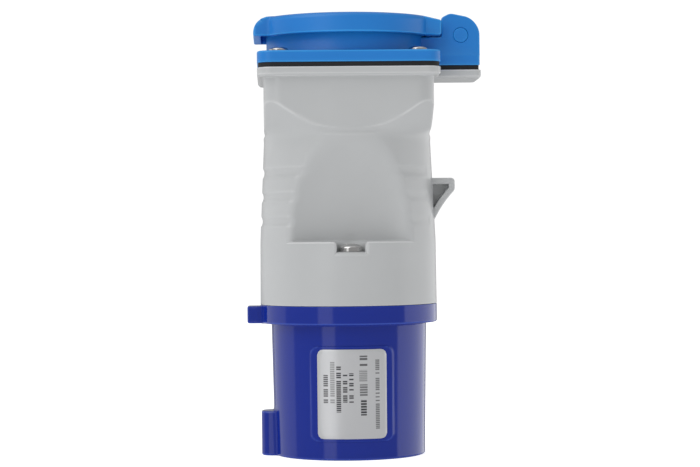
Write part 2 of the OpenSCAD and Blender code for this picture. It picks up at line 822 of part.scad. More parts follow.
// Side view of the hook: wall takes that much off its outer sides
module hook_outline(wall) {
    root = neck_r - house_wall / 2;
    low = ledge_z + hook_low;
    high = low + hook_h;
    tip = [grip_r(low) - hook_tip_in, low];
    face_low = [hook_reach, high - hook_face_h];
    chord = face_low - tip;
    chord_l = norm(chord);
    hollow_r = (chord_l * chord_l / 4 + hook_hollow * hook_hollow) / (2 * hook_hollow);
    normal = [chord[1], -chord[0]] / chord_l;
    centre = (tip + face_low) / 2 + normal * (hollow_r - hook_hollow);
    difference() {
        union() {
            polygon([
                [root, low],
                tip,
                face_low,
                [hook_reach - wall, high - hook_corner_r],
                [hook_reach - wall - hook_corner_r, high - wall],
                [root, high - wall]
            ]);
            translate([hook_reach - wall - hook_corner_r, high - wall - hook_corner_r])
                circle(hook_corner_r);
        }
        translate(centre)
            circle(hollow_r + wall);
        translate([hook_reach - wall, low - over])
            square([far, hook_h + 2 * over]);
    }
}

// Catch for the cover of the mating connector: a thick edge round a thin web
module hook() {
    pocket = (hook_w - hook_web) / 2;
    difference() {
        along_y(hook_w)
            hook_outline(0);
        for (side = [-1, 1])
            translate([0, side * (hook_web + pocket + over) / 2, 0])
                along_y(pocket + over)
                    difference() {
                        hook_outline(hook_wall);
                        translate([0, ledge_z])
                            square([body_r - hook_root_in, grip_h]);
                    }
    }
}

// Outside of the housing, solid
module housing_form() {
    rotate_extrude()
        polygon([[0, house_z], [body_r, house_z], [ledge_r, ledge_z], [neck_r, shoulder_z], [0, shoulder_z]]);
    translate([0, 0, shoulder_z])
        intersection() {
            linear_extrude(head_h)
                round_rect(head_half, head_half, head_corner_r);
            cylinder(r1 = neck_r, r2 = neck_r + head_flare * head_h, h = head_h);
        }
    translate([0, 0, rim_z]) {
        bevelled_plate(plate_half, plate_half, plate_corner_r, rim_t, rim_bevel);
        translate([bracket_x / 2, 0, 0])
            bevelled_plate(bracket_x / 2, bracket_half, plate_corner_r / 2, rim_t, rim_bevel);
    }
    hook();
}

// Room inside the housing, with the screw bosses and the backs of the scoops left standing
module housing_room() {
    difference() {
        rotate_extrude()
            polygon([
                [0, house_z - over],
                [collar_in_r, house_z - over],
                [collar_in_r, ledge_z - house_wall],
                [neck_r - house_wall - groove_d, shoulder_z],
                [well_bore_r, shoulder_z + room_flare_h],
                [well_bore_r, top_z + over],
                [0, top_z + over]
            ]);
        for (side = [-1, 1]) {
            scoop(side, house_wall);
            translate([0, side * ledge_screw_y, seat_z])
                cube([notch_w + 2 * shelf_t, 2 * (boss_r + shelf_out), 2 * shelf_t], center = true);
        }
        at_ledge_screws()
            cylinder(r = boss_r, h = ledge_z);
    }
}

// Moulded housing: round collar and grip below, square head above
module housing() {
    color(house_grey)
        difference() {
            housing_form();
            housing_room();
            for (side = [-1, 1]) {
                scoop(side, 0);
                translate([0, side * ledge_screw_y, seat_z])
                    linear_extrude(notch_d + over) {
                        circle(notch_w / 2);
                        translate([-notch_w / 2, side > 0 ? 0 : -body_r])
                            square([notch_w, body_r]);
                    }
            }
            for (i = [0:groove_count - 1]) {
                z = ledge_z + groove_first + i * groove_pitch;
                translate([0, 0, z])
                    rotate(groove_stop_deg)
                        rotate_extrude(angle = 360 - 2 * groove_stop_deg)
                            translate([grip_r(z) + groove_r - groove_d, 0])
                                circle(groove_r);
            }
            at_ledge_screws()
                translate([0, 0, house_z - over])
                    cylinder(r = ledge_shank_r + through_gap, h = seat_z - house_z + 2 * over);
            at_plate_screws()
                translate([0, 0, face_z - plate_shank_l - end_gap])
                    cylinder(r = plate_shank_r + thread_gap, h = tall);
        }
}

module housing_screws() {
    color(steel)
        at_ledge_screws()
            translate([0, 0, seat_z])
                pan_screw(ledge_head_r, ledge_head_h, ledge_shank_r, seat_z - shroud_h - screw_short);
}

// Flat gasket under the socket's plate and hinge block
module flange_gasket() {
    half = plate_half - flange_gasket_inset;
    tongue = ear_x1 - flange_gasket_inset;
    color(rubber_black)
        translate([0, 0, top_z])
            linear_extrude(flange_gasket_t)
                difference() {
                    union() {
                        round_rect(half, half, plate_corner_r - flange_gasket_inset);
                        translate([tongue / 2, 0])
                            square([tongue, 2 * (ear_out - flange_gasket_inset)], center = true);
                    }
                    circle(well_bore_r);
                    at_plate_screws()
                        circle(plate_shank_r + through_gap);
                }
}

// Side view of a hinge ear with its foot on the plate
module ear_outline() {
    crest = hinge_z + ear_rise;
    fall = crest - ear_fall;
    polygon([
        [ear_x0, plate_z],
        [ear_x1, plate_z],
        [ear_x1, fall - ear_round],
        [ear_x1 - ear_round, fall],
        [ear_x0 + ear_ramp, crest],
        [ear_x0, crest - ear_ramp_fall]
    ]);
    translate([ear_x1 - ear_round, fall - ear_round])
        circle(ear_round);
}

// Plate, collar, well and hinge ears in one moulding
module socket_front() {
    color(socket_blue)
        difference() {
            union() {
                translate([0, 0, plate_z])
                    linear_extrude(plate_t)
                        round_rect(plate_half, plate_half, plate_corner_r);
                translate([0, 0, plate_z])
                    cylinder(r = socket_collar_r, h = mouth_z - plate_z);
                translate([0, 0, base_z])
                    cylinder(r = well_out_r, h = plate_z - base_z + over);
                translate([0, -ear_out, plate_z])
                    cube([ear_x1, 2 * ear_out, plate_t]);
                for (side = [-1, 1])
                    translate([0, side * (ear_in + ear_out) / 2, 0])
                        along_y(ear_t) {
                            ear_outline();
                            translate([0, plate_z])
                                square([hinge_x, cheek_z - plate_z]);
                        }
            }
            difference() {
                translate([0, 0, well_z])
                    cylinder(r = well_r, h = well_depth + over);
                for (side = [-1, 1])
                    translate([0, side * well_r, well_z])
                        cube([guide_w, 2 * guide_out, 2 * (well_depth - guide_down)], center = true);
            }
            for (side = [-1, 1]) {
                translate([0, side * contact_y, base_z - over])
                    cylinder(r = pin_boss_r + seat_gap, h = well_floor_t + 2 * over);
                translate([side * well_r, 0, (base_z + plate_z) / 2 - over])
                    cube([2 * (well_wall + over), 2 * clip_slot, plate_z - base_z], center = true);
                translate([side * well_r, 0, (base_z + clip_high_z) / 2 + over])
                    cube([2 * clip_slot_in, 2 * clip_slot, clip_high_z - base_z], center = true);
            }
            translate([0, 0, base_z - over])
                cylinder(r = base_shank_r + through_gap, h = tall);
            translate([0, 0, base_seat_z])
                cylinder(r = base_head_r + through_gap, h = tall);
            at_plate_screws() {
                translate([0, 0, plate_z - over])
                    cylinder(r = plate_shank_r + through_gap, h = tall);
                translate([0, 0, face_z])
                    cylinder(r = plate_head_r + through_gap, h = tall);
            }
            translate([hinge_x, 0, hinge_z])
                rotate([90, 0, 0])
                    cylinder(r = hinge_pin_r + pin_run, h = far / 2, center = true);
        }
}

module flange_screws() {
    color(steel)
        at_plate_screws()
            translate([0, 0, face_z])
                pan_screw(plate_head_r, plate_head_h, plate_shank_r, plate_shank_l);
}

// Moulded block that carries the two sleeves under the well's floor
module contact_base() {
    color(insert_white)
        difference() {
            union() {
                translate([0, 0, contact_seat_z])
                    cylinder(r = base_r, h = base_h);
                for (side = [-1, 1])
                    translate([0, side * contact_y, base_z - over])
                        cylinder(r = pin_boss_r, h = well_floor_t + over);
            }
            for (side = [-1, 1])
                translate([0, side * contact_y, 0]) {
                    translate([0, 0, contact_seat_z - over])
                        cylinder(r = sleeve_r + seat_gap, h = base_h + over);
                    translate([0, 0, base_z - over])
                        cylinder(r = pin_hole_r, h = well_floor_t + 2 * over);
                    translate([0, 0, well_z - hole_bevel])
                        cylinder(r1 = pin_hole_r, r2 = pin_hole_r + 2 * hole_bevel, h = 2 * hole_bevel);
                }
            translate([0, 0, base_z])
                cube([far, strip_w + 2 * seat_gap, 2 * (strip_t + seat_gap)], center = true);
            translate([0, 0, base_seat_z - base_shank_l - end_gap])
                cylinder(r = base_shank_r + thread_gap, h = tall);
        }
}

module base_screw() {
    color(steel)
        translate([0, 0, base_seat_z])
            pan_screw(base_head_r, base_head_h, base_shank_r, base_shank_l);
}

// Side view of one earth clip: an upright foot and a leaf that bows into the well
module clip_outline() {
    rise = clip_high_z - clip_low_z - clip_tip_gap;
    bow = clip_bow + clip_back;
    bow_r = (rise * rise / 4 + bow * bow) / (2 * bow);
    translate([clip_out - clip_t, base_z - strip_t])
        square([clip_t, clip_low_z - base_z + strip_t]);
    intersection() {
        translate([clip_out - clip_t - bow + bow_r, clip_low_z + rise / 2])
            difference() {
                circle(bow_r);
                circle(bow_r - clip_t);
            }
        translate([0, clip_low_z])
            square([clip_out, rise]);
    }
}

// Bent strip with the two side clips, a tab down and the earth wire's terminal block
module earth_bracket() {
    color(steel)
        difference() {
            union() {
                along_y(strip_w) {
                    translate([-clip_out, base_z - strip_t])
                        square([2 * clip_out, strip_t]);
                    clip_outline();
                    mirror([1, 0])
                        clip_outline();
                    translate([-earth_tab_x - earth_tab_t, earth_block_z - over])
                        square([earth_tab_t, base_z - earth_block_z + over]);
                }
                translate([earth_wire_x, 0, earth_block_z - earth_block_h / 2])
                    cube([earth_block_w, earth_block_w, earth_block_h], center = true);
            }
            translate([0, 0, base_z - strip_t - over])
                cylinder(r = base_shank_r + through_gap, h = strip_t + 2 * over);
            translate([earth_wire_x, 0, earth_low_z - over])
                cylinder(r = wire_hole_r, h = wire_hole_d + over);
            translate([earth_wire_x, 0, earth_low_z + clamp_up])
                rotate([0, -90, 0])
                    cylinder(r = clamp_r + thread_gap, h = earth_block_w);
        }
}

// Turned sleeve contact: split sleeve above, seating collar, screw terminal below
module sleeve_contact(side) {
    color(brass)
        translate([0, side * contact_y, 0])
            difference() {
                rotate_extrude()
                    polygon([
                        [0, contact_low_z],
                        [terminal_r, contact_low_z],
                        [terminal_r, contact_terminal_z],
                        [contact_seat_r, contact_terminal_z],
                        [contact_seat_r, contact_seat_z],
                        [sleeve_r, contact_seat_z],
                        [sleeve_r, base_z - sleeve_down],
                        [0, base_z - sleeve_down]
                    ]);
                translate([0, 0, contact_seat_z + sleeve_floor])
                    cylinder(r = sleeve_bore_r, h = base_h);
                rotate(side * 90)
                    translate([0, -sleeve_slot / 2, contact_seat_z + sleeve_floor])
                        cube([2 * sleeve_r, sleeve_slot, base_h]);
                translate([0, 0, contact_low_z - over])
                    cylinder(r = wire_hole_r, h = wire_hole_d + over);
                translate([0, 0, contact_low_z + clamp_up])
                    rotate([0, 90, 0])
                        cylinder(r = clamp_r + thread_gap, h = terminal_r + over);
            }
}

module live_contact() {
    sleeve_contact(1);
}

module neutral_contact() {
    sleeve_contact(-1);
}

module contact_screws() {
    color(steel) {
        for (side = [-1, 1])
            translate([0, side * contact_y, contact_low_z + clamp_up])
                clamp_screw(wire_r + clamp_gap, terminal_r);
        translate([earth_wire_x, 0, earth_low_z + clamp_up])
            rotate(180)
                clamp_screw(wire_r + clamp_gap, earth_block_w / 2);
    }
}

// Wire from a pin's terminal to a contact's terminal
module adapter_wire(angle, end_xy, end_z) {
    grip = wire_hole_d - end_gap;
    s_wire([each pin_xy(angle), terminal_z - grip], [each end_xy, end_z + grip]);
}

module wire_live() {
    color("saddlebrown")
        adapter_wire(pin_angles[1], [0, contact_y], contact_low_z);
}

module wire_neutral() {
    color("royalblue")
        adapter_wire(pin_angles[2], [0, -contact_y], contact_low_z);
}

module wire_earth() {
    color("yellowgreen")
        adapter_wire(pin_angles[0], [earth_wire_x, 0], earth_low_z);
}

// Plastic pin, flush with the ears
module hinge_pin() {
    color(socket_blue)
        translate([hinge_x, 0, hinge_z])
            rotate([90, 0, 0])
                cylinder(r = hinge_pin_r, h = 2 * ear_out, center = true);
}

// Torsion spring: one leg stands on the plate, the coil turns round the pin, the other leg lies under the lid
module lid_spring() {
    steps = 16;
    sweep = 90 + 360 * spring_turns;
    count = steps * spring_turns + steps / 4;
    leg_low = face_z + seat_gap;
    leg_end = lid_room_r + spring_wire_r;
    coil = [for (i = [0:count]) [i / count * sweep, spring_half * (2 * i / count - 1)]];
    path = concat(
        [[[hinge_x + spring_coil_r, -spring_half, leg_low], 0]],
        [for (c = coil)
            [[hinge_x + spring_coil_r * cos(c[0]), c[1], hinge_z + spring_coil_r * sin(c[0])], c[0]]],
        [[[leg_end, spring_half, hinge_z + spring_coil_r], sweep]]
    );
    color(steel)
        swept_wire([for (p = path) [p[0], [cos(p[1]), 0, sin(p[1])], [0, 1, 0]]], spring_wire_r);
}

// Soft ring under the lid that closes on the collar's edge
module lid_seal() {
    seal_r = lid_room_r - seal_gap;
    color(rubber_black)
        translate([0, 0, mouth_z + lid_gap])
            difference() {
                cylinder(r = seal_r, h = ceiling_z - mouth_z - lid_gap);
                translate([0, 0, -over])
                    cylinder(r = seal_r - seal_w, h = lid_h);
            }
}

// Outside of the lid: round cap, thumb tab, shoulder and the neck to the knuckles
module lid_form() {
    translate([0, 0, lid_z])
        rotate_extrude() {
            square([lid_r - lid_edge_r, lid_h]);
            square([lid_r, lid_h - lid_edge_r]);
            translate([lid_r - lid_edge_r, lid_h - lid_edge_r])
                circle(lid_edge_r);
        }
    along_y(tab_w) {
        translate([0, lid_z])
            square([shoulder_x, lid_h]);
        intersection() {
            translate([-tab_x, lid_z])
                square([tab_x, lid_h]);
            union() {
                translate([-tab_x, lid_z])
                    square([tab_x, lid_h - tab_round]);
                translate([-tab_x + tab_round, lid_z])
                    square([tab_x - tab_round, lid_h]);
                translate([-tab_x + tab_round, crown_z - tab_round])
                    circle(tab_round);
            }
        }
    }
    along_y(knuckle_w) {
        translate([hinge_x, hinge_z])
            circle(knuckle_r);
        translate([0, lid_z])
            square([hinge_x, hinge_z + knuckle_r - lid_z]);
    }
}

// Sprung lid
module lid() {
    leg_room = lid_gap + spring_wire_r;
    color(socket_blue)
        difference() {
            lid_form();
            translate([0, 0, lid_z - over])
                linear_extrude(ceiling_z - lid_z + over) {
                    circle(lid_room_r);
                    translate([-(lid_room_r + tab_out), -tab_w / 2 + lid_skirt])
                        square([lid_room_r + tab_out, tab_w - 2 * lid_skirt]);
                }
            for (side = [-1, 1])
                translate([hinge_x, side * (knuckle_half + (ear_gap + ear_t + lid_gap) / 2), hinge_z])
                    cube([2 * ear_swing_r, ear_gap + ear_t + lid_gap, tall], center = true);
            translate([hinge_x, 0, hinge_z])
                rotate([90, 0, 0]) {
                    cylinder(r = hinge_pin_r + pin_run, h = far / 2, center = true);
                    cylinder(r = knuckle_r + seat_gap, h = spring_w, center = true);
                }
            translate([hinge_x - ear_swing_r, spring_half - leg_room, hinge_z + spring_coil_r - leg_room])
                cube([ear_swing_r, 2 * leg_room, 2 * leg_room]);
        }
}

plug_shroud();
rating_label();
pin_earth();
pin_live();
pin_neutral();
pin_carrier();
carrier_screws();
pin_screws();
plug_gasket();
housing();
housing_screws();
flange_gasket();
socket_front();
flange_screws();
contact_base();
base_screw();
earth_bracket();
live_contact();
neutral_contact();
contact_screws();
wire_live();
wire_neutral();
wire_earth();
hinge_pin();
lid_spring();
lid_seal();
lid();
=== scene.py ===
# %% [markdown]
# # Plug adapter
# A keyed round-pin plug below, an earthed socket under a sprung lid above, and one grey moulded housing
# between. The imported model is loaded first. It is the frame that every piece is measured from.

# %% Load the frame
import json
import math

import bmesh
import bpy
import numpy as np
from mathutils import Matrix, Vector


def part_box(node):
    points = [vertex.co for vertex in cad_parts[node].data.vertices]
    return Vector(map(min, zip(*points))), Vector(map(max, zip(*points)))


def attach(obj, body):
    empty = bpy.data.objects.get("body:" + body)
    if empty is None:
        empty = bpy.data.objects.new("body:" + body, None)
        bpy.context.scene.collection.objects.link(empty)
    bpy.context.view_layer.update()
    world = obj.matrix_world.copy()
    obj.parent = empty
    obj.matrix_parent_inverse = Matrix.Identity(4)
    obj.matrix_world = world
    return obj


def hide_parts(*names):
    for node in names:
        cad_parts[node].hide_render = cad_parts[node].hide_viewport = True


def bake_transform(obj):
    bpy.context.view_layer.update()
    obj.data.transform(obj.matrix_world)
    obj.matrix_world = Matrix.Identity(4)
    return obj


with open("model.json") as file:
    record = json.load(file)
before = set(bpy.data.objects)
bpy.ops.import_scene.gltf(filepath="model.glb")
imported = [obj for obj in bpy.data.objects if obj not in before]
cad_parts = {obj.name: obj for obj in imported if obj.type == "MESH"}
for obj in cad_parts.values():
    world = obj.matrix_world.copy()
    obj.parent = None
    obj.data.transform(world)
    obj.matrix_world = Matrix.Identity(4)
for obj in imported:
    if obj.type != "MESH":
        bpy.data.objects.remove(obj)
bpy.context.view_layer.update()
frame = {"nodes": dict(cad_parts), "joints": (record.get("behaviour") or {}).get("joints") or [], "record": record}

nodes = frame["nodes"]
scene = bpy.context.scene
MM = 0.001

# %% [markdown]
# ## Camera
# The photograph was taken with a long lens from about 0.6 m, level with the middle of the object. The
# camera stands two degrees round to the side of the key and is rolled by a fraction of a degree. A lens
# is set by its focal length over the sensor's width, so a focal length counted in pixels turns into
# millimetres with one division.

# %% Camera
IMAGE_W = 700
SENSOR_MM = 36.0
FOCAL_PX = 2130.0
CAMERA_FAR = 600 * MM
CAMERA_Z = 61.85 * MM
CAMERA_SWING = math.radians(2.0)
CAMERA_ROLL = math.radians(-0.6)
AXIS_PX = 347.95

camera_data = bpy.data.cameras.new("camera")
camera_data.sensor_width = SENSOR_MM
camera_data.lens = FOCAL_PX * SENSOR_MM / IMAGE_W
camera_data.shift_x = (IMAGE_W / 2 - AXIS_PX) / IMAGE_W
camera = bpy.data.objects.new("camera", camera_data)
scene.collection.objects.link(camera)
swing = Matrix.Rotation(-CAMERA_SWING, 4, "Z")
level = Matrix.Rotation(math.radians(90), 4, "X")
roll = Matrix.Rotation(CAMERA_ROLL, 4, "Z")
place = swing @ Vector((0, -CAMERA_FAR, CAMERA_Z))
camera.matrix_world = Matrix.Translation(place) @ swing @ level @ roll
scene.camera = camera
print("lens", round(camera_data.lens, 1), "mm, camera at", [round(v, 3) for v in place])

# %% [markdown]
# ## Sizes
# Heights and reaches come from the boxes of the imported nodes, so the pieces follow the frame. The sizes
# that no box gives, such as the draft of a wall or the radius of a scoop, are named in capitals at the
# piece that needs them, in millimetres, as on the drawing of the part.


# %% Sizes from the frame
def span(node):
    """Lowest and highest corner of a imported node, in millimetres."""
    low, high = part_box(node)
    return low / MM, high / MM


house_low, house_high = span("housing")
house_z, top_z, bracket_x = house_low.z, house_high.z, house_high.x
flange_z = span("plug_gasket")[0].z
lug_x = -span("plug_shroud")[0].x
plate_z = span("flange_gasket")[1].z
socket_low = span("socket_front")[0]
plate_half, base_z = -socket_low.x, socket_low.z
lid_low, lid_high = span("lid")
tab_x, crown_z = -lid_low.x, lid_high.z
pin_low, pin_high = span("hinge_pin")
ear_out, pin_r = pin_high.y, (pin_high.z - pin_low.z) / 2
hinge_x, _, hinge_z = [v / MM for v in frame["joints"][0]["pos_m"]]
print("flange", flange_z, "rim", top_z, "plate", plate_z, "crown", crown_z, "hinge", hinge_x, hinge_z)

# %% [markdown]
# ## Rounded forms
# Moulded plastic has a small radius on every edge and in every corner, and the light on those radii is
# what makes it look moulded. Bevelling after a boolean is fragile, so the big mouldings are described as
# distance formulas instead: a formula is negative inside the material and positive outside. Two formulas
# are joined, or cut out of each other, with a true radius where they meet.


# %% Distance formulas
def join(a, b, r):
    """Both forms together, with a fillet of radius r in the corner between them."""
    return np.maximum(r, np.minimum(a, b)) - np.hypot(np.maximum(r - a, 0), np.maximum(r - b, 0))


def meet(a, b, r):
    """What lies in both forms, with its edge rounded by r."""
    return np.minimum(-r, np.maximum(a, b)) + np.hypot(np.maximum(r + a, 0), np.maximum(r + b, 0))


def cut(a, b, r):
    """The first form with the second taken out, with its edge rounded by r."""
    return meet(a, -b, r)


def plan_box(x, y, half_x, half_y, r):
    """Rectangle with round corners, centred."""
    over_x = np.abs(x) - (half_x - r)
    over_y = np.abs(y) - (half_y - r)
    outside = np.hypot(np.maximum(over_x, 0), np.maximum(over_y, 0))
    return outside + np.minimum(np.maximum(over_x, over_y), 0) - r


def ease(t):
    """Smooth step from 0 to 1."""
    t = np.clip(t, 0, 1)
    return t * t * (3 - 2 * t)


print("2 mm fillet, half a millimetre from both walls:", round(float(join(0.5, 0.5, r=2)), 2))

# %% [markdown]
# ## Rolled walls
# A flat grid is rolled up into a closed wall: each column of the grid becomes one ray that leaves the
# middle of the piece, each row one height, and each vertex slides out along its ray until it meets the
# form. Where a piece has a notch with straight sides, the rays run side by side there, and they fan out
# round the two ends. A subdivided cylinder would spread its columns evenly; here they crowd together at
# the corners, where the form turns.


# %% Rays
def stretch(*stops):
    """Values from stop to stop; each stop is a value and the number of steps that follow it."""
    parts = [np.linspace(a, b, n, endpoint=False) for (a, n), (b, _) in zip(stops, stops[1:])]
    return np.concatenate(parts + [[stops[-1][0]]])


def mirrored(values):
    """A rising list from zero, with its mirror image below zero put in front."""
    return np.concatenate([-values[:0:-1], values])


def fan(*corners, steps):
    """Angles of one fanned end, crowded round each corner angle, without the two ends at a right angle."""
    stops = sorted({-90.0, 90.0, *corners, *[-c for c in corners]})
    counts = [max(2, round((b - a) / 180 * steps)) for a, b in zip(stops, stops[1:])]
    return stretch(*zip(stops, counts + [0]))[1:-1]


def around_corner(x, y, spine, spread_deg):
    """Three angles at which a fan from the end of the spine meets a corner."""
    angle = math.degrees(math.atan2(y, x - spine))
    return angle - spread_deg, angle, angle + spread_deg


def stadium_rays(half, straight, right, left):
    """One turn of rays from a spine along X: side by side over the spine, fanned round its two ends."""
    spine = np.concatenate([np.full(len(right), half), straight[::-1], np.full(len(left), -half), straight])
    sides = np.full(len(straight), 90.0)
    angle = np.radians(np.concatenate([right, sides, 180 - left[::-1], sides + 180]))
    return np.stack([spine, 0 * spine], 1), np.stack([np.cos(angle), np.sin(angle)], 1)


print("a fan of 12 steps, crowded at 30 degrees:", np.round(fan(28.0, 30.0, 32.0, steps=12), 1))

# %% Sheets on rays
CAST_REACH, CAST_STEPS = 50.0, 34
SEAM = 1e-7
EPS = 0.005


def cast(form, rays, heights):
    """Points where the rays leave the form, one row for each height."""
    start, aim = rays
    z = np.asarray(heights, float)[:, None] + np.zeros(len(start))
    near = np.zeros_like(z)
    far = np.full_like(z, CAST_REACH)
    for _ in range(CAST_STEPS):
        mid = (near + far) / 2
        inside = form(start[:, 0] + aim[:, 0] * mid, start[:, 1] + aim[:, 1] * mid, z) < 0
        near = np.where(inside, mid, near)
        far = np.where(inside, far, mid)
    return np.stack([start[:, 0] + aim[:, 0] * near, start[:, 1] + aim[:, 1] * near, z], -1)


def edges_of(verts):
    """The edges at some vertices, each once and in a fixed order."""
    return list(dict.fromkeys(e for v in verts for e in v.link_edges))


def rolled_sheet(bm, points):
    """Lays a grid on rows of points in mm, closes it round the columns and returns its free edges."""
    rows, columns = points.shape[:2]
    verts = bmesh.ops.create_grid(bm, x_segments=columns, y_segments=rows - 1, size=1)["verts"]
    for v in verts:
        column = round((v.co.x + 1) / 2 * columns) % columns
        row = round((v.co.y + 1) / 2 * (rows - 1))
        v.co = points[row, column] * MM
    bmesh.ops.remove_doubles(bm, verts=verts, dist=SEAM)
    return [e for e in edges_of(v for v in verts if v.is_valid) if e.is_boundary]


def split_by_height(edges, z):
    """The edges below a height in millimetres, and those above it."""
    lows = [e for e in edges if e.verts[0].co.z < z * MM]
    highs = [e for e in edges if e.verts[0].co.z > z * MM]
    return lows, highs


print("a ray is placed to", CAST_REACH / 2 ** CAST_STEPS, "mm")

# %% [markdown]
# ## Finishes
# All the plastics are one recipe with different values: a base colour that drifts a little over the
# piece, a fine spark-eroded grain that both breaks the gloss and bends the normal, and a painted
# highlight that makes the outer edges a little lighter. Grain, drift and edge are one shared node group.
# Its pattern reads Object coordinates, which are metres here, so a grain of a few tenths of a millimetre
# has a scale in the thousands. The painted edge highlight reads an attribute that each piece stores. A
# picture of plastic would need a flat map of every piece, which these nodes do without.


# %% Shared grain group
def srgb(r, g, b):
    """A colour from 0 to 255 as seen on screen, in linear light."""
    shares = (r / 255, g / 255, b / 255)
    linear = [v / 12.92 if v <= 0.04045 else ((v + 0.055) / 1.055) ** 2.4 for v in shares]
    return (*linear, 1.0)


def make_grain():
    """Node group: fine grain, a slow drift over the piece and the painted highlight on its edges, all from 0 to 1.
    """
    group = bpy.data.node_groups.new("moulded_grain", "ShaderNodeTree")
    for name, value in (("Grain scale", 3000.0), ("Drift scale", 60.0)):
        socket = group.interface.new_socket(name, in_out="INPUT", socket_type="NodeSocketFloat")
        socket.default_value = value
    for name in ("Grain", "Drift", "Edge"):
        group.interface.new_socket(name, in_out="OUTPUT", socket_type="NodeSocketFloat")
    put = group.nodes.new
    inside, outside, coords = put("NodeGroupInput"), put("NodeGroupOutput"), put("ShaderNodeTexCoord")
    for out, detail in (("Grain", 2.0), ("Drift", 3.0)):
        noise = put("ShaderNodeTexNoise")
        noise.inputs["Detail"].default_value = detail
        group.links.new(coords.outputs["Object"], noise.inputs["Vector"])
        group.links.new(inside.outputs[out + " scale"], noise.inputs["Scale"])
        group.links.new(noise.outputs["Fac"], outside.inputs[out])
    highlight = put("ShaderNodeAttribute")
    highlight.attribute_name = "painted_edge_highlight"
    group.links.new(highlight.outputs["Fac"], outside.inputs["Edge"])
    return group


grain_group = make_grain()
print("group", grain_group.name, [s.name for s in grain_group.interface.items_tree])

# %% [markdown]
# The recipe puts the group into one Principled BSDF: drift moves the base colour between a darker and a
# lighter shade, grain moves the roughness and bends the normal. Each plastic could have a material built
# by hand, but then they would not stay alike. A number that is the same all over the surface, such as the
# metallic value, is set on the shader's own socket.


# %% Moulded recipe
def mix_colours(tree, factor, first, second):
    """A colour between two, by a factor from 0 to 1; each is a fixed colour or a socket that gives one."""
    mix = tree.nodes.new("ShaderNodeMix")
    mix.data_type = "RGBA"
    tree.links.new(factor, mix.inputs[0])
    for socket, colour in ((mix.inputs[6], first), (mix.inputs[7], second)):
        if isinstance(colour, tuple):
            socket.default_value = colour
        else:
            tree.links.new(colour, socket)
    return mix.outputs[2]


def spread(tree, factor, low, high):
    """A value between low and high, by a factor from 0 to 1."""
    scaled = tree.nodes.new("ShaderNodeMapRange")
    tree.links.new(factor, scaled.inputs["Value"])
    scaled.inputs["To Min"].default_value = low
    scaled.inputs["To Max"].default_value = high
    return scaled.outputs["Result"]


def moulded(name, colour, rough, grain, depth, drift=0.05, metallic=0.0, edge=None):
    """A grained finish: low and high roughness, scale and depth in mm of the grain, drift of the colour."""
    material = bpy.data.materials.new(name)
    material.use_nodes = True
    tree = material.node_tree
    shader = tree.nodes["Principled BSDF"]
    group = tree.nodes.new("ShaderNodeGroup")
    group.node_tree = grain_group
    group.inputs["Grain scale"].default_value = grain
    low = tuple(v * (1 - drift) for v in colour[:3]) + (1.0,)
    high = tuple(min(v * (1 + drift), 1) for v in colour[:3]) + (1.0,)
    skin = mix_colours(tree, group.outputs["Drift"], low, high)
    # The edge colour is a painted highlight, laid on the outer edges by the stored attribute.
    if edge:
        skin = mix_colours(tree, group.outputs["Edge"], skin, edge)
    tree.links.new(skin, shader.inputs["Base Color"])
    tree.links.new(spread(tree, group.outputs["Grain"], *rough), shader.inputs["Roughness"])
    bump = tree.nodes.new("ShaderNodeBump")
    bump.inputs["Strength"].default_value = 1.0
    bump.inputs["Distance"].default_value = depth * MM
    tree.links.new(group.outputs["Grain"], bump.inputs["Height"])
    tree.links.new(bump.outputs["Normal"], shader.inputs["Normal"])
    shader.inputs["Metallic"].default_value = metallic
    return material


# %% [markdown]
# The housing is a light satin grey, the socket a bright satin blue and the plug a polished dark blue, so
# its roughness is much lower. Pins and sleeves are brass, screws and spring are plated steel, gaskets and
# seal are rubber. A table with one entry for each slot shows the differences better than a row of calls.

# %% Plastics, rubber and metals
INSULATION = dict(rough=(0.35, 0.5), grain=1400, depth=0.006)
# Each edge colour is a painted highlight on the outer edges, lighter than the plastic.
recipes = {
    "house_grey": dict(colour=srgb(193, 195, 196), rough=(0.26, 0.36), grain=2600, depth=0.005,
                       edge=srgb(218, 219, 220)),
    "socket_blue": dict(colour=(0.01, 0.212, 0.66, 1), rough=(0.32, 0.42), grain=1200, depth=0.003,
                        drift=0.04, edge=(0.03, 0.33, 0.8, 1)),
    "plug_blue": dict(colour=(0.004, 0.022, 0.28, 1), rough=(0.08, 0.14), grain=900, depth=0.0006,
                      drift=0.04, edge=(0.03, 0.07, 0.42, 1)),
    "black_rubber": dict(colour=srgb(28, 28, 30), rough=(0.55, 0.8), grain=2200, depth=0.02, drift=0.2),
    "insert_white": dict(colour=srgb(228, 227, 220), rough=(0.4, 0.55), grain=1800, depth=0.01),
    "brass": dict(colour=srgb(214, 178, 106), rough=(0.18, 0.34), grain=1500, depth=0.003, drift=0.08,
                  metallic=1.0),
    "steel": dict(colour=srgb(200, 199, 198), rough=(0.08, 0.2), grain=1800, depth=0.004, drift=0.1,
                  metallic=1.0),
    "wire_brown": dict(colour=srgb(98, 56, 32), **INSULATION),
    "wire_blue": dict(colour=srgb(40, 88, 180), **INSULATION),
}
finishes = {slot: moulded(slot, **recipe) for slot, recipe in recipes.items()}
print("finishes", list(finishes))

# %% [markdown]
# ## Earth wire
# The earth conductor has the two-coloured insulation that every earth wire has: green with a yellow
# stripe. Two twisted strips of mesh would do it too, but the wire is thin and out of sight. A wave
# texture along the wire makes the stripes, and its colours replace the plain drift of the other
# insulation.


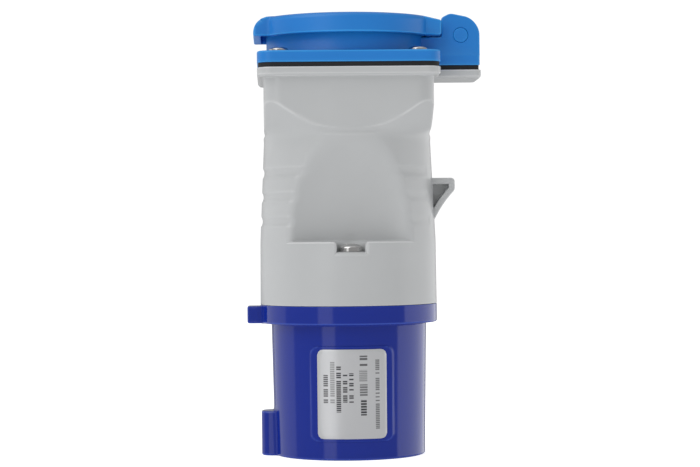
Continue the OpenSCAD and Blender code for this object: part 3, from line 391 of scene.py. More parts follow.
# %% Striped insulation
def striped(name, first, second, scale, share):
    """Insulation of a first colour with stripes of a second one."""
    material = moulded(name, first, **INSULATION)
    tree = material.node_tree
    wave = tree.nodes.new("ShaderNodeTexWave")
    wave.bands_direction = "DIAGONAL"
    wave.inputs["Scale"].default_value = scale
    coords = tree.nodes.new("ShaderNodeTexCoord")
    tree.links.new(coords.outputs["Object"], wave.inputs["Vector"])
    ramp = tree.nodes.new("ShaderNodeValToRGB")
    ramp.color_ramp.interpolation = "CONSTANT"
    ramp.color_ramp.elements[0].color = first
    ramp.color_ramp.elements[1].color = second
    ramp.color_ramp.elements[1].position = share
    tree.links.new(wave.outputs["Fac"], ramp.inputs["Fac"])
    tree.links.new(ramp.outputs["Color"], tree.nodes["Principled BSDF"].inputs["Base Color"])
    return material


finishes["wire_earth"] = striped("wire_earth", srgb(62, 128, 52), srgb(226, 206, 60), scale=90, share=0.6)
print("striped", finishes["wire_earth"].name)

# %% [markdown]
# ## Finished pieces
# The outer edges of a moulding get a painted highlight, a little lighter than its faces, which stands
# in for the light that glints on them. It could be painted by hand, but a changed form would need new
# paint. Here each vertex stores how tightly it bulges: the angles of its edges, weighed by their
# lengths, over four times the skin that it stands for, are its mean curvature, and the painted
# highlight follows it.

# %% Painted edge highlight
FLAT_BULGE, SHARP_BULGE = 0.2, 1.1
NO_SKIN = 1e-12


def mark_edges(bm):
    """Stores the painted edge highlight on each vertex: 0 on flat or hollow skin, 1 on a tight outer edge."""
    bm.verts.index_update()
    bend, skin = np.zeros(len(bm.verts)), np.full(len(bm.verts), NO_SKIN)
    for edge in bm.edges:
        turn = edge.calc_face_angle_signed(0.0) * edge.calc_length()
        for v in edge.verts:
            bend[v.index] += turn
    for face in bm.faces:
        share = face.calc_area() / len(face.verts)
        for v in face.verts:
            skin[v.index] += share
    bulge = bend / skin / 4 * MM
    highlight = ease((bulge - FLAT_BULGE) / (SHARP_BULGE - FLAT_BULGE))
    layer = bm.verts.layers.float.new("painted_edge_highlight")
    for v in bm.verts:
        around = [highlight[e.other_vert(v).index] for e in v.link_edges]
        v[layer] = (highlight[v.index] + np.mean(around)) / 2


# The two radii are where the painted edge highlight starts and where it is full.
print("radius in mm where painted_highlight starts and where it is full:", [0.5 / h for h in (FLAT_BULGE, SHARP_BULGE)])

# %% [markdown]
# Each piece ends the same way: doubles are merged, normals turned outwards, faces shaded smooth with
# sharp edges only where the angle is steep. Doubles go first, because only a closed skin has a clear
# outside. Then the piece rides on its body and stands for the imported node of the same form. One function
# does this for all, so that no piece misses a step.

# %% Finish a piece
SHARP_DEG = 40
dressed = set()


def dress(name, bm, slot, node):
    """Turns a bmesh into an object with the finish of a slot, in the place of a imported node."""
    bmesh.ops.remove_doubles(bm, verts=bm.verts, dist=SEAM)
    bmesh.ops.recalc_face_normals(bm, faces=bm.faces)
    mark_edges(bm)
    for face in bm.faces:
        face.smooth = True
    mesh = bpy.data.meshes.new(name)
    bm.to_mesh(mesh)
    bm.free()
    mesh.set_sharp_from_angle(angle=math.radians(SHARP_DEG))
    mesh.materials.append(finishes[slot])
    obj = bpy.data.objects.new(name, mesh)
    scene.collection.objects.link(obj)
    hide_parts(node)
    dressed.add(node)
    print(name, len(mesh.polygons), "faces, replaces", node)
    return obj


def finish_piece(name, bm, body, slot, node):
    """A dressed piece that rides on a body."""
    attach(dress(name, bm, slot, node), body)


# %% [markdown]
# ## Housing
# The grey housing is the hardest piece: round below, square above, with a scoop on each side, a screw
# ledge under it, three grip grooves, a rim and a bracket. Cut from a cylinder with booleans it would need
# a bevel wherever three cuts meet. Seen from its middle every wall faces outwards, so one rolled wall can
# take the whole outside. First come the hollows of the grip: shallow round grooves, and two scoops that
# are nearly flat across and round upwards.

# %% Grooves and scoops
GROOVES, GROOVE_HALF, GROOVE_D, GROOVE_FIRST, GROOVE_PITCH = 3, 1.4, 0.45, 65.35, 6.75
GROOVE_STOP_DEG, GROOVE_END_DEG = 24.0, 1.2
GROOVE_FADE = (40, 75), (0.25, 1.0)
SCOOP_FLOOR, SCOOP_Z, SCOOP_R, SCOOP_HALF, SCOOP_RISE = 16.0, 62.15, 47.74, 15.5, 1.6


def groove_depth(x, y, z):
    """Depth of the grip grooves, which grow shallower towards the hook and stop short of it."""
    arc_r = (GROOVE_HALF ** 2 + GROOVE_D ** 2) / (2 * GROOVE_D)
    depth = 0 * z
    for i in range(GROOVES):
        away = z - GROOVE_FIRST - i * GROOVE_PITCH
        depth = np.maximum(depth, np.sqrt(np.maximum(arc_r ** 2 - away ** 2, 0)) - arc_r + GROOVE_D)
    from_hook = np.degrees(np.arctan2(np.abs(y), x))
    begun = ease((from_hook - GROOVE_STOP_DEG) / GROOVE_END_DEG + 0.5)
    return depth * begun * np.interp(from_hook, *GROOVE_FADE)


def scoop_form(x, y, z):
    """The two hollows that scoop out the sides: flat in the middle, steeper towards their edges."""
    rise = SCOOP_RISE * (x / SCOOP_HALF) ** 4
    slope = 4 * SCOOP_RISE / SCOOP_HALF * (x / SCOOP_HALF) ** 3
    out = (np.abs(y) - SCOOP_FLOOR - rise) / np.hypot(1, slope)
    return np.hypot(SCOOP_R - out, z - SCOOP_Z) - SCOOP_R


beside_hook, far_side = [round(float(groove_depth(x, 10.0, GROOVE_FIRST)), 2) for x in (9, -9)]
print("groove depth towards the hook", beside_hook, "mm and on the far side", far_side, "mm")

# %% [markdown]
# The grip is a cone that widens again above the shoulder, cut to the square of the head, so its corners
# run out in a soft V on each side. The scoops stop at the ledges, a notch in each ledge seats a screw,
# and the rim with the bracket for the hinge closes the top.

# %% Outside of the housing
BODY_R, LEDGE_R, NECK_R = 24.8, 24.65, 23.3
LEDGE_Z, SHOULDER_Z, RIM_Z = 59.65, 89.45, 104.7
HEAD_HALF, HEAD_CORNER, HEAD_FLARE, FLARE_BLEND = 23.3, 5.0, 0.9, 2.2
SQUARE_FADE = (-1.5, 0), (2, 0)
V_ROUND = (-3.0, -1.2, 0.7, 2.0), (0.3, 1.5, 1.5, 0.25)
SCOOP_EDGE = 1.4
NOTCH_HALF, SEAT_Z, LEDGE_SCREW_Y = 3.8, 56.85, 20.4
PLATE_CORNER, RIM_BEVEL, BRACKET_HALF = 4.0, 0.6, 9.3


def grip_form(x, y, z):
    """The grip and the square head, without scoops."""
    up = z - SHOULDER_Z
    wall_r = np.interp(z, [house_z, LEDGE_Z, SHOULDER_Z], [BODY_R, LEDGE_R, NECK_R]) - groove_depth(x, y, z)
    blend = (up + FLARE_BLEND) ** 2 / (4 * FLARE_BLEND)
    soft_up = np.where(np.abs(up) < FLARE_BLEND, blend, np.maximum(up, 0))
    turned_form = np.hypot(x, y) - wall_r - HEAD_FLARE * soft_up
    square = plan_box(x, y, HEAD_HALF, HEAD_HALF, HEAD_CORNER) - np.interp(up, *SQUARE_FADE)
    return meet(turned_form, square, np.interp(up, *V_ROUND))


def notch_form(x, y, z):
    """The slots in the two ledges, with a round inner end, for the heads of the ledge screws."""
    out = np.abs(y) - LEDGE_SCREW_Y
    notch = np.where(out > 0, np.abs(x), np.hypot(x, out)) - NOTCH_HALF
    return np.maximum(np.maximum(notch, SEAT_Z - z), z - LEDGE_Z - 1)


def rim_form(x, y, z):
    """The square rim and its bracket, bevelled below."""
    rim = np.minimum(plan_box(x, y, plate_half, plate_half, PLATE_CORNER),
                     plan_box(x - bracket_x / 2, y, bracket_x / 2, BRACKET_HALF, PLATE_CORNER / 2))
    below = RIM_Z - z
    return np.maximum(np.maximum(rim, below), (rim + below + RIM_BEVEL) / math.sqrt(2))


def housing_form(x, y, z):
    grip = grip_form(x, y, z)
    scooped = cut(grip, scoop_form(x, y, z), r=SCOOP_EDGE)
    collar = meet(grip, z - LEDGE_Z, r=0.4)
    form = join(scooped, collar, r=0.5 * ease(scooped - grip))
    form = cut(form, notch_form(x, y, z), r=1.2)
    form = join(form, rim_form(x, y, z), r=0.5)
    form = meet(form, house_z - z, r=0.12)
    return meet(form, z - top_z, r=0.3)


print("grip from", BODY_R, "to", NECK_R, "mm in radius, head", 2 * HEAD_HALF, "mm square")

# %% [markdown]
# Columns crowd together at the notch, the scoops' ridges, the ends of the grooves and the bracket's
# corners, and rows at the ledge, the screw seat and the rim, where the form turns sharply. Two rows a
# hundredth of a millimetre apart make a flat face, such as the ledge.

# %% Columns and rows of the housing
HOUSE_SPINE = 8.0
RIDGE_X, RIDGE_Y, RIDGE_SPREAD = 16.0, 18.8, 7.0
GRIP_R = 24.2
GRIP_TOP_Z, HEAD_MID_Z = 88, 100

house_half = stretch((0, 12), (NOTCH_HALF - 0.3, 20), (NOTCH_HALF + 1.4, 10), (HOUSE_SPINE, 0))
ridge_angle = around_corner(RIDGE_X, RIDGE_Y, HOUSE_SPINE, 0)[1]
ridge_angles = ridge_angle + np.linspace(-RIDGE_SPREAD, RIDGE_SPREAD, 11)
stop_x = GRIP_R * math.cos(math.radians(GROOVE_STOP_DEG))
stop_y = GRIP_R * math.sin(math.radians(GROOVE_STOP_DEG))
hook_side = fan(*around_corner(plate_half, BRACKET_HALF, HOUSE_SPINE, 0.9),
                *around_corner(stop_x, stop_y, HOUSE_SPINE, 0.6),
                *around_corner(bracket_x, BRACKET_HALF, HOUSE_SPINE, 1.5), *ridge_angles, steps=108)
house_rays = stadium_rays(HOUSE_SPINE, mirrored(house_half), hook_side, fan(*ridge_angles, steps=100))
house_rows = np.concatenate([
    stretch((house_z + EPS, 5), (house_z + 0.4, 14), (SEAT_Z - 1.3, 12), (SEAT_Z - EPS, 0)),
    stretch((SEAT_Z + EPS, 6), (LEDGE_Z - 0.8, 10), (LEDGE_Z - EPS, 0)),
    stretch((LEDGE_Z + EPS, 8), (LEDGE_Z + 1.1, 60), (GRIP_TOP_Z, 40), (HEAD_MID_Z, 8), (RIM_Z - 0.6, 6),
            (RIM_Z - EPS, 0)),
    stretch((RIM_Z + EPS, 4), (RIM_Z + 0.65, 1), (RIM_Z + 0.75, 2), (top_z - 0.45, 1), (top_z - 0.35, 5),
            (top_z - EPS, 0)),
])
house_outside = cast(housing_form, house_rays, house_rows)
print("housing wall", len(house_rays[0]), "columns", len(house_rows), "rows")

# %% [markdown]
# The inside is cast on the same rays. It follows the backs of the scoops at the wall's thickness and
# leaves the shelves under the screw notches solid. One sheet runs up the outside, over the top, down the
# inside and closes under the foot, so every vertex of the inside lies behind its partner outside. Two
# separate loops could be bridged, but a bridge may pair them with a twist.

# %% Inside of the housing
HOUSE_WALL, ROOM_NECK_R, ROOM_HEAD_R, ROOM_FLARE = 2.4, 20.45, 21.5, 3
SHELF_IN, SHELF_MORE = 4.6, 1
ROOM_LEDGE_Z = LEDGE_Z - HOUSE_WALL


def room_form(x, y, z):
    wall_r = np.interp(z, [ROOM_LEDGE_Z, SHOULDER_Z, SHOULDER_Z + ROOM_FLARE],
                       [BODY_R - HOUSE_WALL, ROOM_NECK_R, ROOM_HEAD_R])
    room = np.hypot(x, y) - wall_r
    scoop = np.maximum(scoop_form(x, y, z) - HOUSE_WALL, ROOM_LEDGE_Z - z)
    shelf = np.maximum(np.abs(x) - NOTCH_HALF - HOUSE_WALL, LEDGE_SCREW_Y - SHELF_IN - np.abs(y))
    shelf = np.maximum(shelf, np.abs(z - SEAT_Z) - HOUSE_WALL - SHELF_MORE)
    return np.maximum(np.maximum(room, -scoop), -shelf)


room_rows = stretch((house_z + EPS, 5), (ROOM_LEDGE_Z - 0.1, 2), (ROOM_LEDGE_Z, 7), (SHOULDER_Z, 2),
                    (SHOULDER_Z + ROOM_FLARE, 2), (top_z - EPS, 0))
house_inside = cast(room_form, house_rays, room_rows)
housing = bmesh.new()
rolled_sheet(housing, np.concatenate([house_outside, house_inside[::-1], house_outside[:1]]))
print("housing sheet", len(housing.faces), "faces")

# %% [markdown]
# The hook catches the cover of the mating connector. It is a slab with a pocket in each side, which
# leaves a thick edge round a thin web. A block with inset sides would need its slanted, hollow edge cut
# by hand. Seen from the middle of its pocket the outline is met once in each direction, so the same
# casting draws it: here the "heights" are insets, and each inset gives one line of the rounded edge.

# %% Slabs
SLAB_STEP_DEG = 3
SLAB_FINE_DEG = stretch((174, 20), (188, 0))
QUARTER = np.radians([0, 22.5, 45, 67.5, 90])


def slab_lines(centre, outer, inner, y_low, y_high, edge, lip):
    """Lines in X and Z, each with its Y: out over a slab's low side, round its edge and back."""
    angle = np.radians(np.unique(np.concatenate([np.arange(0, 360, SLAB_STEP_DEG), SLAB_FINE_DEG])))
    rays = np.tile(centre, (len(angle), 1)), np.stack([np.cos(angle), np.sin(angle)], 1)
    outline = cast(lambda x, z, inset: outer(x, z) + inset, rays, edge * (1 - np.sin(QUARTER)))[..., :2]
    hole, mouth = cast(lambda x, z, more: inner(x, z) - more, rays, [0, lip])[..., :2]
    drop = edge * (1 - np.cos(QUARTER))
    lines = [(hole, y_low + lip), (mouth, y_low)]
    lines += [(line, y_low + d) for line, d in zip(outline, drop)]
    lines += [(line, y_high - d) for line, d in zip(outline[::-1], drop[::-1])]
    return lines + [(mouth, y_high), (hole, y_high - lip)]


def lay_lines(bm, lines):
    """A sheet over lines in X and Z, each at its Y; returns its free edges."""
    rows = [np.stack([xz[:, 0], np.full(len(xz), y), xz[:, 1]], 1) for xz, y in lines]
    return rolled_sheet(bm, np.array(rows))


print("the edge of a slab is rounded in", len(QUARTER), "lines on each side")

# %% [markdown]
# The hook's slanted edge is slightly hollow, so it is an arc of a large circle through its two ends. The
# pockets follow the same outline, moved inwards, and end at a thin web that is filled on both sides.

# %% Hook on the housing
HOOK_LOW, HOOK_HIGH, HOOK_REACH, HOOK_FACE, HOOK_HALF = 65.6, 77.2, 30.0, 3.4, 4.0
HOOK_TIP_X, HOOK_ROOT_X, HOOK_CORNER, HOOK_HOLLOW_R = 24.25, 22.1, 1.1, 32.0
POCKET_EDGE, POCKET_X, POCKET_EYE, WEB_HALF = 1.7, 23.8, (25.6, 74.2), 0.8


def hook_form(x, z):
    """The hook's side view: a flat top, an upright face, and a slanted edge that is slightly hollow."""
    tip, heel = np.array([HOOK_TIP_X, HOOK_LOW]), np.array([HOOK_REACH, HOOK_HIGH - HOOK_FACE])
    along = (heel - tip) / np.linalg.norm(heel - tip)
    half = np.linalg.norm(heel - tip) / 2
    middle = (tip + heel) / 2 + np.array([along[1], -along[0]]) * math.sqrt(HOOK_HOLLOW_R ** 2 - half ** 2)
    form = meet(z - HOOK_HIGH, x - HOOK_REACH, r=HOOK_CORNER)
    form = meet(form, HOOK_HOLLOW_R - np.hypot(x - middle[0], z - middle[1]), r=0.4)
    return np.maximum(form, np.maximum(HOOK_ROOT_X - x, HOOK_LOW - z))


def pocket_form(x, z):
    return np.maximum(hook_form(x, z) + POCKET_EDGE, POCKET_X - x)


hook = slab_lines(POCKET_EYE, hook_form, pocket_form, -HOOK_HALF, HOOK_HALF, edge=0.3, lip=0.15)
web_edges = lay_lines(housing, [(hook[0][0], -WEB_HALF), *hook, (hook[-1][0], WEB_HALF)])
for side in (-1, 1):
    web = [e for e in web_edges if e.verts[0].co.y * side > 0]
    bmesh.ops.triangle_fill(housing, edges=web, use_beauty=True)
finish_piece("housing_shell", housing, "adapter", "house_grey", "housing")

# %% [markdown]
# ## Plug shroud
# The blue shroud is a tapered tube with a flange, a key and a retaining lug. It could be spun from a
# profile, with the key and the lug added as blocks, but the fillets between them would be lost. It is the
# same kind of wall as the housing, turned a quarter so that the parallel rays run along the key and the
# lug. The raised pad for the label is a quarter of a millimetre of extra radius with a soft edge.

# %% Outside of the shroud
SHROUD_H, MOUTH_R, ROOT_R = 37.0, 21.05, 21.75
KEY_X, KEY_HALF, KEY_NOSE, KEY_H = 24.8, 4.3, 3.0, 12.4
LUG_HALF, LUG_CORNER = 4.4, 1.0
LIP_Z, LIP_R = flange_z + 0.3, 24.45
PAD_HALF_W, PAD_HALF_H, PAD_Z, PAD_T, PAD_CORNER, PAD_SLOPE = 11.3, 12.95, 18.15, 0.25, 2.1, 0.14


def shroud_r(z):
    """The drafted outer radius of the shroud at a height."""
    return np.interp(z, [0, SHROUD_H], [MOUTH_R, ROOT_R])


def shroud_form(x, y, z):
    window = plan_box(x, z - PAD_Z, PAD_HALF_W, PAD_HALF_H, PAD_CORNER)
    raised = np.where(y < 0, PAD_T * ease(0.5 - window / PAD_SLOPE), 0)
    form = np.hypot(x, y) - shroud_r(z) - raised
    key = plan_box(x + KEY_X / 2, y, KEY_X / 2, KEY_HALF, KEY_NOSE)
    form = join(form, meet(key, z - KEY_H, r=0.5), r=0.9)
    flange = meet(np.hypot(x, y) - BODY_R, SHROUD_H - z, r=0.5)
    lug = plan_box(x + lug_x / 2, y, lug_x / 2, LUG_HALF, LUG_CORNER)
    lug = meet(meet(lug, SHROUD_H - z, r=0.6), z - flange_z, r=0.5)
    form = join(form, join(flange, lug, r=0.4), r=0.6)
    form = meet(form, -z, r=0.6)
    return meet(form, z - LIP_Z, r=0.12)


print("shroud", 2 * MOUTH_R, "mm across at its mouth and", 2 * ROOT_R, "at its root")

# %% [markdown]
# The slope at the pad's edge is only 0.14 mm wide. Close columns lie along its upright edges and close
# rows along the upper and lower ones. An even grid as fine as that would have millions of faces.


# %% Columns and rows of the shroud
def quarter_turn(rays):
    """The same rays, turned by a right angle."""
    return tuple(np.stack([-v[:, 1], v[:, 0]], 1) for v in rays)


SHROUD_SPINE = 6.0
PAD_EDGE_Y = 18.0
PAD_ANGLES = np.linspace(-1.2, 2.4, 10)
pad_from_spine = math.degrees(math.atan2(PAD_EDGE_Y - SHROUD_SPINE, PAD_HALF_W))
shroud_half = stretch((0, 6), (KEY_HALF - KEY_NOSE, 16), (KEY_HALF + 0.6, 6), (SHROUD_SPINE, 0))
shroud_fan = fan(*(pad_from_spine + PAD_ANGLES), pad_from_spine + 9, steps=150)
shroud_rays = quarter_turn(stadium_rays(SHROUD_SPINE, mirrored(shroud_half), shroud_fan, shroud_fan))
pad_foot, pad_head = PAD_Z - PAD_HALF_H, PAD_Z + PAD_HALF_H
shroud_rows = np.concatenate([
    stretch((EPS, 7), (0.7, 12), (pad_foot - 0.15, 8), (pad_foot + 0.15, 8), (pad_foot + 2.4, 8),
            (KEY_H - 0.7, 9), (KEY_H - EPS, 0)),
    stretch((KEY_H + EPS, 4), (KEY_H + 0.6, 14), (pad_head - 2.4, 8), (pad_head - 0.15, 8),
            (pad_head + 0.15, 8), (SHROUD_H - 0.7, 8), (SHROUD_H - EPS, 0)),
    stretch((SHROUD_H + EPS, 9), (SHROUD_H + 0.8, 5), (flange_z - 0.6, 7), (flange_z - EPS, 0)),
    stretch((flange_z + EPS, 1), (LIP_Z - 0.15, 3), (LIP_Z - EPS, 0)),
])
shroud = bmesh.new()
shroud_edges = rolled_sheet(shroud, cast(shroud_form, shroud_rays, shroud_rows))
shroud_foot, shroud_top = split_by_height(shroud_edges, SHROUD_H / 2)
print("shroud wall", len(shroud_rays[0]), "columns", len(shroud_rows), "rows")

# %% [markdown]
# The inside is round, so it needs no casting: the loop at the mouth is extruded inwards and up to the pin
# floor, the loop on the flange becomes the spigot that enters the housing, and both floors are filled
# with holes left for the three pins.


# %% Loops and floors
def ring(bm, edges, move):
    """Extrudes a loop of edges, moves the new vertices and returns the new loop."""
    made = bmesh.ops.extrude_edge_only(bm, edges=edges)["geom"]
    verts = {g for g in made if isinstance(g, bmesh.types.BMVert)}
    for v in verts:
        v.co = move(v.co)
    return [g for g in made if isinstance(g, bmesh.types.BMEdge) and verts.issuperset(g.verts)]


def to_circle(r, z):
    """A move that brings a vertex to a circle round the axis, at the angle that it has."""
    def move(co):
        angle = math.atan2(co.y, co.x)
        return Vector((r * math.cos(angle), r * math.sin(angle), z)) * MM
    return move


def rings(bm, loop, line):
    """Extrudes a loop from circle to circle, each given as radius and height; returns the last loop."""
    for r, z in line:
        loop = ring(bm, loop, to_circle(r, z))
    return loop


def circle_loop(bm, x, y, z, r, segments=40):
    """A closed loop of edges on a circle."""
    at = Matrix.Translation(Vector((x, y, z)) * MM)
    verts = bmesh.ops.create_circle(bm, segments=segments, radius=r * MM, matrix=at)["verts"]
    return edges_of(verts)


def pierced_floor(bm, rim, z, holes):
    """Fills the rim at a height, but for round holes given as x, y and radius; returns the holes' loops."""
    loops = [circle_loop(bm, x, y, z, r) for x, y, r in holes]
    bmesh.ops.triangle_fill(bm, edges=rim + [e for loop in loops for e in loop], use_beauty=True)
    return loops


# %% [markdown]
# The earth pin stands at the key and is thicker than the two power pins, so its hole is wider. Each floor
# is filled once round its three holes, and bridges between the two floors make the walls of the holes.

# %% Inside of the shroud
SHROUD_IN_R, PIN_FLOOR, FLOOR_T, SEAT_R = 18.45, 36.0, 3.0, 16.8
SPIGOT_R, SPIGOT_IN, SPIGOT_H = 22.2, 20.2, 5.0
PIN_CIRCLE, EARTH_HOLE_R, POWER_HOLE_R = 10.5, 3.2, 2.7
pin_holes = [(PIN_CIRCLE * math.cos(math.radians(a)), PIN_CIRCLE * math.sin(math.radians(a)), r)
             for a, r in ((180, EARTH_HOLE_R), (60, POWER_HOLE_R), (-60, POWER_HOLE_R))]
spigot_z, seat_floor = flange_z + SPIGOT_H, PIN_FLOOR + FLOOR_T
mouth_line = ((SHROUD_IN_R + 0.4, EPS), (SHROUD_IN_R + 0.1, 0.1), (SHROUD_IN_R, 0.5),
              (SHROUD_IN_R, PIN_FLOOR))
spigot_line = ((LIP_R, LIP_Z), (LIP_R, flange_z), (SPIGOT_R, flange_z), (SPIGOT_R, spigot_z),
               (SPIGOT_IN, spigot_z), (SPIGOT_IN, flange_z), (SEAT_R, flange_z), (SEAT_R, seat_floor))
low_holes = pierced_floor(shroud, rings(shroud, shroud_foot, mouth_line), PIN_FLOOR, pin_holes)
high_holes = pierced_floor(shroud, rings(shroud, shroud_top, spigot_line), seat_floor, pin_holes)
for low_hole, high_hole in zip(low_holes, high_holes):
    bmesh.ops.bridge_loops(shroud, edges=low_hole + high_hole)
finish_piece("shroud_shell", shroud, "adapter", "plug_blue", "plug_shroud")

# %% [markdown]
# ## Socket front
# The bright blue front is a square plate with a round collar on top and a deep well inside it. A block at
# one side carries the hinge. A square and a tube could be booleaned together, but one sheet keeps the
# soft edges: it runs up the plate's edge, in over its face, up and over the collar and down into the
# well. The well is cast like the plate, because two guide ribs and two slots for the earth clips
# interrupt its circle.

# %% Plate and well
FACE_Z, MOUTH_Z, WELL_Z = 111.55, 118.35, 100.85
COLLAR_R, WELL_R, WELL_OUT_R = 22.4, 19.6, 21.3
BLOCK_HALF = 5.3
BLOCK_X = hinge_x + BLOCK_HALF
RIB_HALF, RIB_OUT, RIB_DOWN, SLOT_HALF, SLOT_R, SLOT_Z = 2.3, 2.0, 2.0, 3.2, 21.0, 116.95
RIB_Z = MOUTH_Z - RIB_DOWN


def plate_form(x, y, z):
    block = plan_box(x - BLOCK_X / 2, y, BLOCK_X / 2, ear_out, r=0.7)
    plan = join(plan_box(x, y, plate_half, plate_half, PLATE_CORNER), block, r=0.6)
    return meet(meet(plan, z - FACE_Z, r=0.45), plate_z - z, r=0.3)


def well_form(x, y, z):
    rib = np.maximum(np.maximum(np.abs(x) - RIB_HALF, WELL_R - RIB_OUT - np.abs(y)), z - RIB_Z)
    slot = np.maximum(np.maximum(np.abs(y) - SLOT_HALF, np.abs(x) - SLOT_R), z - SLOT_Z)
    return np.minimum(cut(np.hypot(x, y) - WELL_R, rib, r=0.3), slot)


print("well", 2 * WELL_R, "mm across and", round(MOUTH_Z - WELL_Z, 1), "mm deep")

# %% [markdown]
# The plate, the collar and the well share their columns, so they are stacked into one list of rows. The
# collar is round and needs only the angle that each column has on the plate. Three loops could be bridged
# instead, but stacked rows can't twist.

# %% Sheet of plate, collar and well
SOCKET_SPINE = 8.0
SLOT_EDGE_X = 20.2
socket_half = stretch((0, 5), (RIB_HALF - 0.5, 10), (RIB_HALF + 0.5, 12), (SOCKET_SPINE, 0))
slot_angles = around_corner(SLOT_EDGE_X, SLOT_HALF, SOCKET_SPINE, 1.2)
hinge_side = fan(*slot_angles, *around_corner(plate_half, ear_out, SOCKET_SPINE, 1.6),
                 *around_corner(BLOCK_X, ear_out, SOCKET_SPINE, 0.9), steps=110)
socket_rays = stadium_rays(SOCKET_SPINE, mirrored(socket_half), hinge_side, fan(*slot_angles, steps=110))
plate_rows = stretch((plate_z + EPS, 4), (plate_z + 0.35, 3), (FACE_Z - 0.5, 6), (FACE_Z - EPS, 0))
plate_wall = cast(plate_form, socket_rays, plate_rows)
column_angle = np.arctan2(plate_wall[-1, :, 1], plate_wall[-1, :, 0])
collar_line = ((COLLAR_R + 0.6, FACE_Z), (COLLAR_R + 0.18, FACE_Z + 0.18), (COLLAR_R, FACE_Z + 0.6),
               (COLLAR_R, MOUTH_Z - 0.4), (COLLAR_R - 0.12, MOUTH_Z - 0.12),
               (COLLAR_R - 0.4, MOUTH_Z - EPS))
collar_wall = [np.stack([r * np.cos(column_angle), r * np.sin(column_angle), 0 * column_angle + z], 1)
               for r, z in collar_line]
well_rows = np.concatenate([
    stretch((WELL_Z + EPS, 12), (SLOT_Z - 0.7, 2), (RIB_Z - EPS, 0)),
    stretch((RIB_Z + EPS, 3), (SLOT_Z - EPS, 0)),
    stretch((SLOT_Z + EPS, 4), (MOUTH_Z - EPS, 0)),
])
well_wall = cast(well_form, socket_rays, well_rows)
socket = bmesh.new()
socket_edges = rolled_sheet(socket, np.concatenate([plate_wall, collar_wall, well_wall[::-1]]))
well_foot, plate_foot = split_by_height(socket_edges, (WELL_Z + plate_z) / 2)
print("plate and well", len(socket_rays[0]), "columns")

# %% [markdown]
# The floor of the well has two round windows, which the white insert behind it fills with its pin bosses,
# and the seat of the middle screw. The same holes open on the underside, and bridges make their walls.

# %% Floor of the well
BOSS_Y, WINDOW_R, BASE_HEAD_R, BASE_SHANK_R, BASE_SEAT_Z = 9.5, 4.8, 3.2, 1.7, 99.25
plate_under = rings(socket, plate_foot, ((WELL_OUT_R, plate_z), (WELL_OUT_R, base_z)))
windows = [(0, BOSS_Y, WINDOW_R), (0, -BOSS_Y, WINDOW_R)]
above = pierced_floor(socket, well_foot, WELL_Z + EPS, [*windows, (0, 0, BASE_HEAD_R)])
below = pierced_floor(socket, plate_under, base_z, [*windows, (0, 0, BASE_SHANK_R)])
above[2] = rings(socket, above[2], ((BASE_HEAD_R, BASE_SEAT_Z), (BASE_SHANK_R, BASE_SEAT_Z)))
for upper, lower in zip(above, below):
    bmesh.ops.bridge_loops(socket, edges=upper + lower)
print("well floor with", len(above), "holes")

# %% [markdown]
# The ears stand on the block and hold the pin, and a low cheek joins each to the collar. They are slabs
# again, cast from a point in the bore that lies below the cheek's top, so the top is met from inside. The
# bore has a small lip, which is the dark ring round the pin in the photograph.

# %% Ears and cheeks
EAR_T, EAR_IN, EAR_SUNK = 2.2, 6.8, 0.8
EAR_NEAR_X, EAR_FOOT = hinge_x - BLOCK_HALF, FACE_Z - EAR_SUNK
EAR_CREST, EAR_FALL, EAR_ROUND, EAR_RAMP, EAR_RAMP_FALL = 122.8, 0.8, 4.3, 2.4, 1.2
CHEEK_X, CHEEK_Z, CHEEK_EYE = 20.0, 116.15, 0.6
BORE_R = 2.1


def above_line(x, z, a, b):
    """How far a point lies above the line from a to b."""
    step = (b[0] - a[0], b[1] - a[1])
    return ((z - a[1]) * step[0] - (x - a[0]) * step[1]) / math.hypot(*step)


def ear_form(x, z):
    crest = EAR_NEAR_X + EAR_RAMP, EAR_CREST
    top = above_line(x, z, crest, (BLOCK_X - EAR_ROUND, EAR_CREST - EAR_FALL))
    ramp = above_line(x, z, (EAR_NEAR_X, EAR_CREST - EAR_RAMP_FALL), crest)
    form = meet(meet(top, x - BLOCK_X, r=EAR_ROUND), ramp, r=0.5)
    form = meet(form, EAR_NEAR_X - x, r=0.5)
    cheek = np.maximum(np.maximum(CHEEK_X - x, x - hinge_x), z - CHEEK_Z)
    return np.maximum(join(form, cheek, r=0.5), EAR_FOOT - z)


def bore_form(x, z):
    return np.hypot(x - hinge_x, z - hinge_z) - BORE_R


def pierced_slab(bm, form, y_low, thick, edge, lip, eye_z=hinge_z):
    """A plate across the hinge with a round bore for the pin, cast from a point in the bore."""
    lines = slab_lines((hinge_x, eye_z), form, bore_form, y_low, y_low + thick, edge, lip)
    lay_lines(bm, lines + [lines[0]])


for y_low in (-ear_out, EAR_IN):
    pierced_slab(socket, ear_form, y_low, EAR_T, edge=0.35, lip=0.12, eye_z=CHEEK_Z - CHEEK_EYE)
finish_piece("socket_shell", socket, "adapter", "socket_blue", "socket_front")

# %% [markdown]
# ## Lid
# The lid is a shallow cap: a round disc with a softly rounded edge, and a thumb tab at the free side
# whose end is rounded from above. Underneath it is hollow. A spun profile would give the disc but not the
# tab, so it is a rolled sheet again, which runs down the hollow and up the outside. The ceiling and the
# crown are filled.

# %% Cap of the lid
LID_Z, LID_R, LID_EDGE = 116.45, 25.7, 1.5
LID_ROOM_R, CEILING_Z, SKIRT = 23.7, 119.7, 2.0
TAB_ROUND, TAB_HALF = 4.6, 14.0
LID_SLOT_X, LID_SLOT_LOW, LID_SLOT_HIGH = 23.22, 6.2, 9.3


